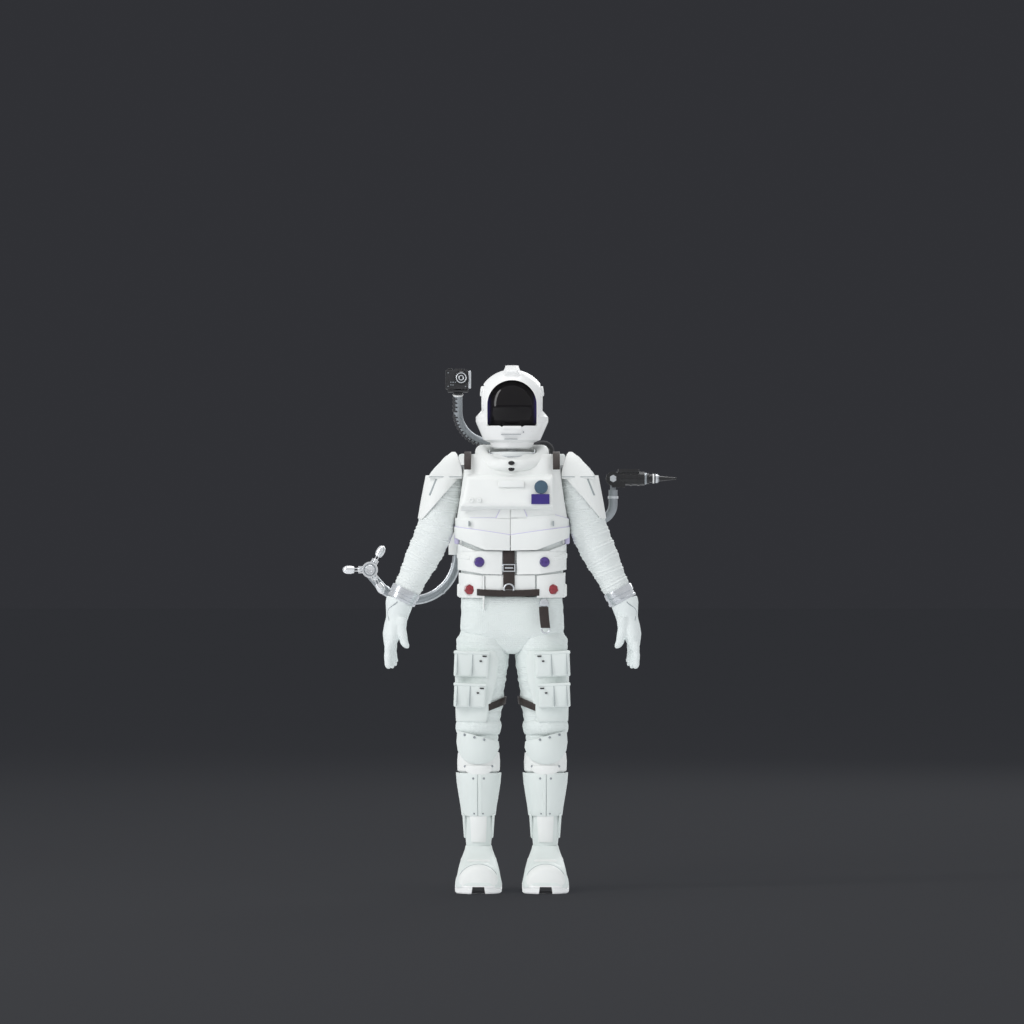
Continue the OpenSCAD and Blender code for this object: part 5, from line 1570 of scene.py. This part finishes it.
# %% Backpack trim
PACK_BACK = 27.1
guards = []
for x in (-1, 1):
    for z in (119.4, 155.6):
        guard = block("guard", (x * 16.9 - 2.5, 19.6, z - 1.6), (x * 16.9 + 2.5, 27.9, z + 1.6))
        guards.append(soften(guard, 1.1, 4, 25))
dress(done(join(guards, "pack_guards")), ARMOUR, "torso", "pack_shell")
lid_frame = block("pack_frame", (-15.6, 26.6, 120.4), (15.6, 27.8, 153.2))
pick(lid_frame, lambda c, n: abs(n.y) > 0.6)
bpy.ops.mesh.inset(thickness=1.0 * MM)
bpy.ops.mesh.bridge_edge_loops(type="SINGLE")
bpy.ops.object.mode_set(mode="OBJECT")
dress(done(soften(lid_frame, 0.3, 3, 25)), ARMOUR, "torso", "pack_shell")
handle = ribbon("pack_handle", [(4.0, 25.2, 156.4), (4.0, 25.2, 158.0), (5.0, 25.2, 158.9),
                                (13.0, 25.2, 158.9), (14.0, 25.2, 158.0), (14.0, 25.2, 156.4)],
                0.9, 0.9, "X", 0.3)
place(handle, Matrix.Rotation(0, 4, "Z"))
dress(handle, BLACK, "torso", "pack_shell")
ports = [disc("port", (-10.0 + 5 * i, PACK_BACK + 1.2, 146.2), (0, 1, 0),
              [(-0.5, 1.2), (0.1, 1.3), (0.5, 1.2), (0.5, 0.7), (0.3, 0.6), (0.3, 0.2)], 28)
         for i in range(2)]
dress(join(ports, "pack_ports"), STEEL, "torso", "pack_lid")
band = loft("pack_seam", [(0, 20.1, 136.6, 38.3, 14.3, 0), (0, 20.1, 137.0, 38.3, 14.3, 0)], 40,
            4.1)
dress(band, SEAM, "torso", "pack_shell")
print("pack done")

# %% [markdown]
# ## Studio
# The floor is painted pale and the surround is white for the light that they throw, but what the
# camera sees of both is a plain dark tone, so that the white figure stands out. Five soft lamps
# light it. The camera looks level from the front through a long lens, so that the figure keeps
# its true proportions.

# %% Floor
DARK_FLOOR = (0.014, 0.015, 0.019, 1)
DARK_SURROUND = (0.030, 0.031, 0.036, 1)
SEEN_DARK = 0.96
clear()
bpy.ops.mesh.primitive_plane_add(size=1)
floor = bpy.context.object
floor.name = "studio_floor"
floor.scale = (14, 14, 1)
bpy.ops.object.transform_apply(scale=True)
pale = Paint("floor_pale", Roughness=0.9)
pale.colour(pale.mix(pale.noise(3, 2), (0.80, 0.81, 0.83), (0.84, 0.85, 0.87)))
glow = pale.node("ShaderNodeEmission", None, {"Color": DARK_FLOOR, "Strength": 1.0})
light_path = pale.node("ShaderNodeLightPath")
ray = Value(pale, light_path.outputs["Is Camera Ray"]) * SEEN_DARK
blend = pale.node("ShaderNodeMixShader", None, {
    0: ray, 1: pale.shader.outputs[0], 2: glow.outputs[0]})
pale.tree.links.new(blend.outputs[0], pale.tree.nodes["Material Output"].inputs[0])
floor.data.materials.append(pale.material)

# %% Surround
world = bpy.data.worlds.new("studio")
bpy.context.scene.world = world
world.use_nodes = True
tree = world.node_tree
tree.nodes.clear()
path = tree.nodes.new("ShaderNodeLightPath")


def glow_of(name, colour, strength):
    shade = tree.nodes.new("ShaderNodeBackground")
    shade.name = name
    shade.inputs["Color"].default_value = colour
    shade.inputs["Strength"].default_value = strength
    return shade


def choose(ray, first, second):
    blend_node = tree.nodes.new("ShaderNodeMixShader")
    tree.links.new(path.outputs[ray], blend_node.inputs[0])
    tree.links.new(first.outputs[0], blend_node.inputs[1])
    tree.links.new(second.outputs[0], blend_node.inputs[2])
    return blend_node


lit = glow_of("lit", (0.96, 0.98, 1.0, 1), 0.42)
mirrored = glow_of("mirrored", (0.87, 0.88, 0.90, 1), 0.8)
seen = glow_of("seen", DARK_SURROUND, 1.0)
either = choose("Is Camera Ray", choose("Is Glossy Ray", lit, mirrored), seen)
out = tree.nodes.new("ShaderNodeOutputWorld")
tree.links.new(either.outputs[0], out.inputs[0])


# %% Lamps and camera
def lamp(name, place_at, size, watts, tint=(1, 1, 1), tall=None):
    light = bpy.data.lights.new(name, "AREA")
    light.size, light.energy, light.color = size, watts, tint
    if tall:
        light.shape, light.size_y = "RECTANGLE", tall
    shape = bpy.data.objects.new(name, light)
    bpy.context.collection.objects.link(shape)
    shape.location = place_at
    aim = Vector((0, 0, 0.1)) - Vector(place_at)
    shape.rotation_euler = aim.to_track_quat("-Z", "Y").to_euler()
    return shape


lamp("key", (-0.55, -0.9, 0.75), 0.5, 3.4).visible_glossy = False
lamp("fill", (0.8, -0.8, 0.35), 0.7, 2.2, (0.98, 0.99, 1.0)).visible_glossy = False
lamp("strip", (-0.74, -0.38, 0.5), 0.12, 2.6, (1, 1, 1), 0.9)
lamp("top", (0.0, 0.1, 1.1), 0.6, 3.0)
lamp("back", (0.35, 0.9, 0.6), 0.5, 2.4, (0.97, 0.99, 1.0))

FIELD = 368.64 * MM
AIM_HEIGHT = 136.1 * MM
DISTANCE = 2.4
lens = bpy.data.cameras.new("camera_view")
lens.sensor_width = 36
lens.lens = 36 * DISTANCE / FIELD
lens.clip_end = 50
camera = bpy.data.objects.new("camera_view", lens)
bpy.context.collection.objects.link(camera)
camera.location = (0, -DISTANCE, AIM_HEIGHT)
camera.rotation_euler = (math.radians(90), 0, 0)
bpy.context.scene.camera = camera
bpy.context.scene.view_settings.view_transform = "Standard"
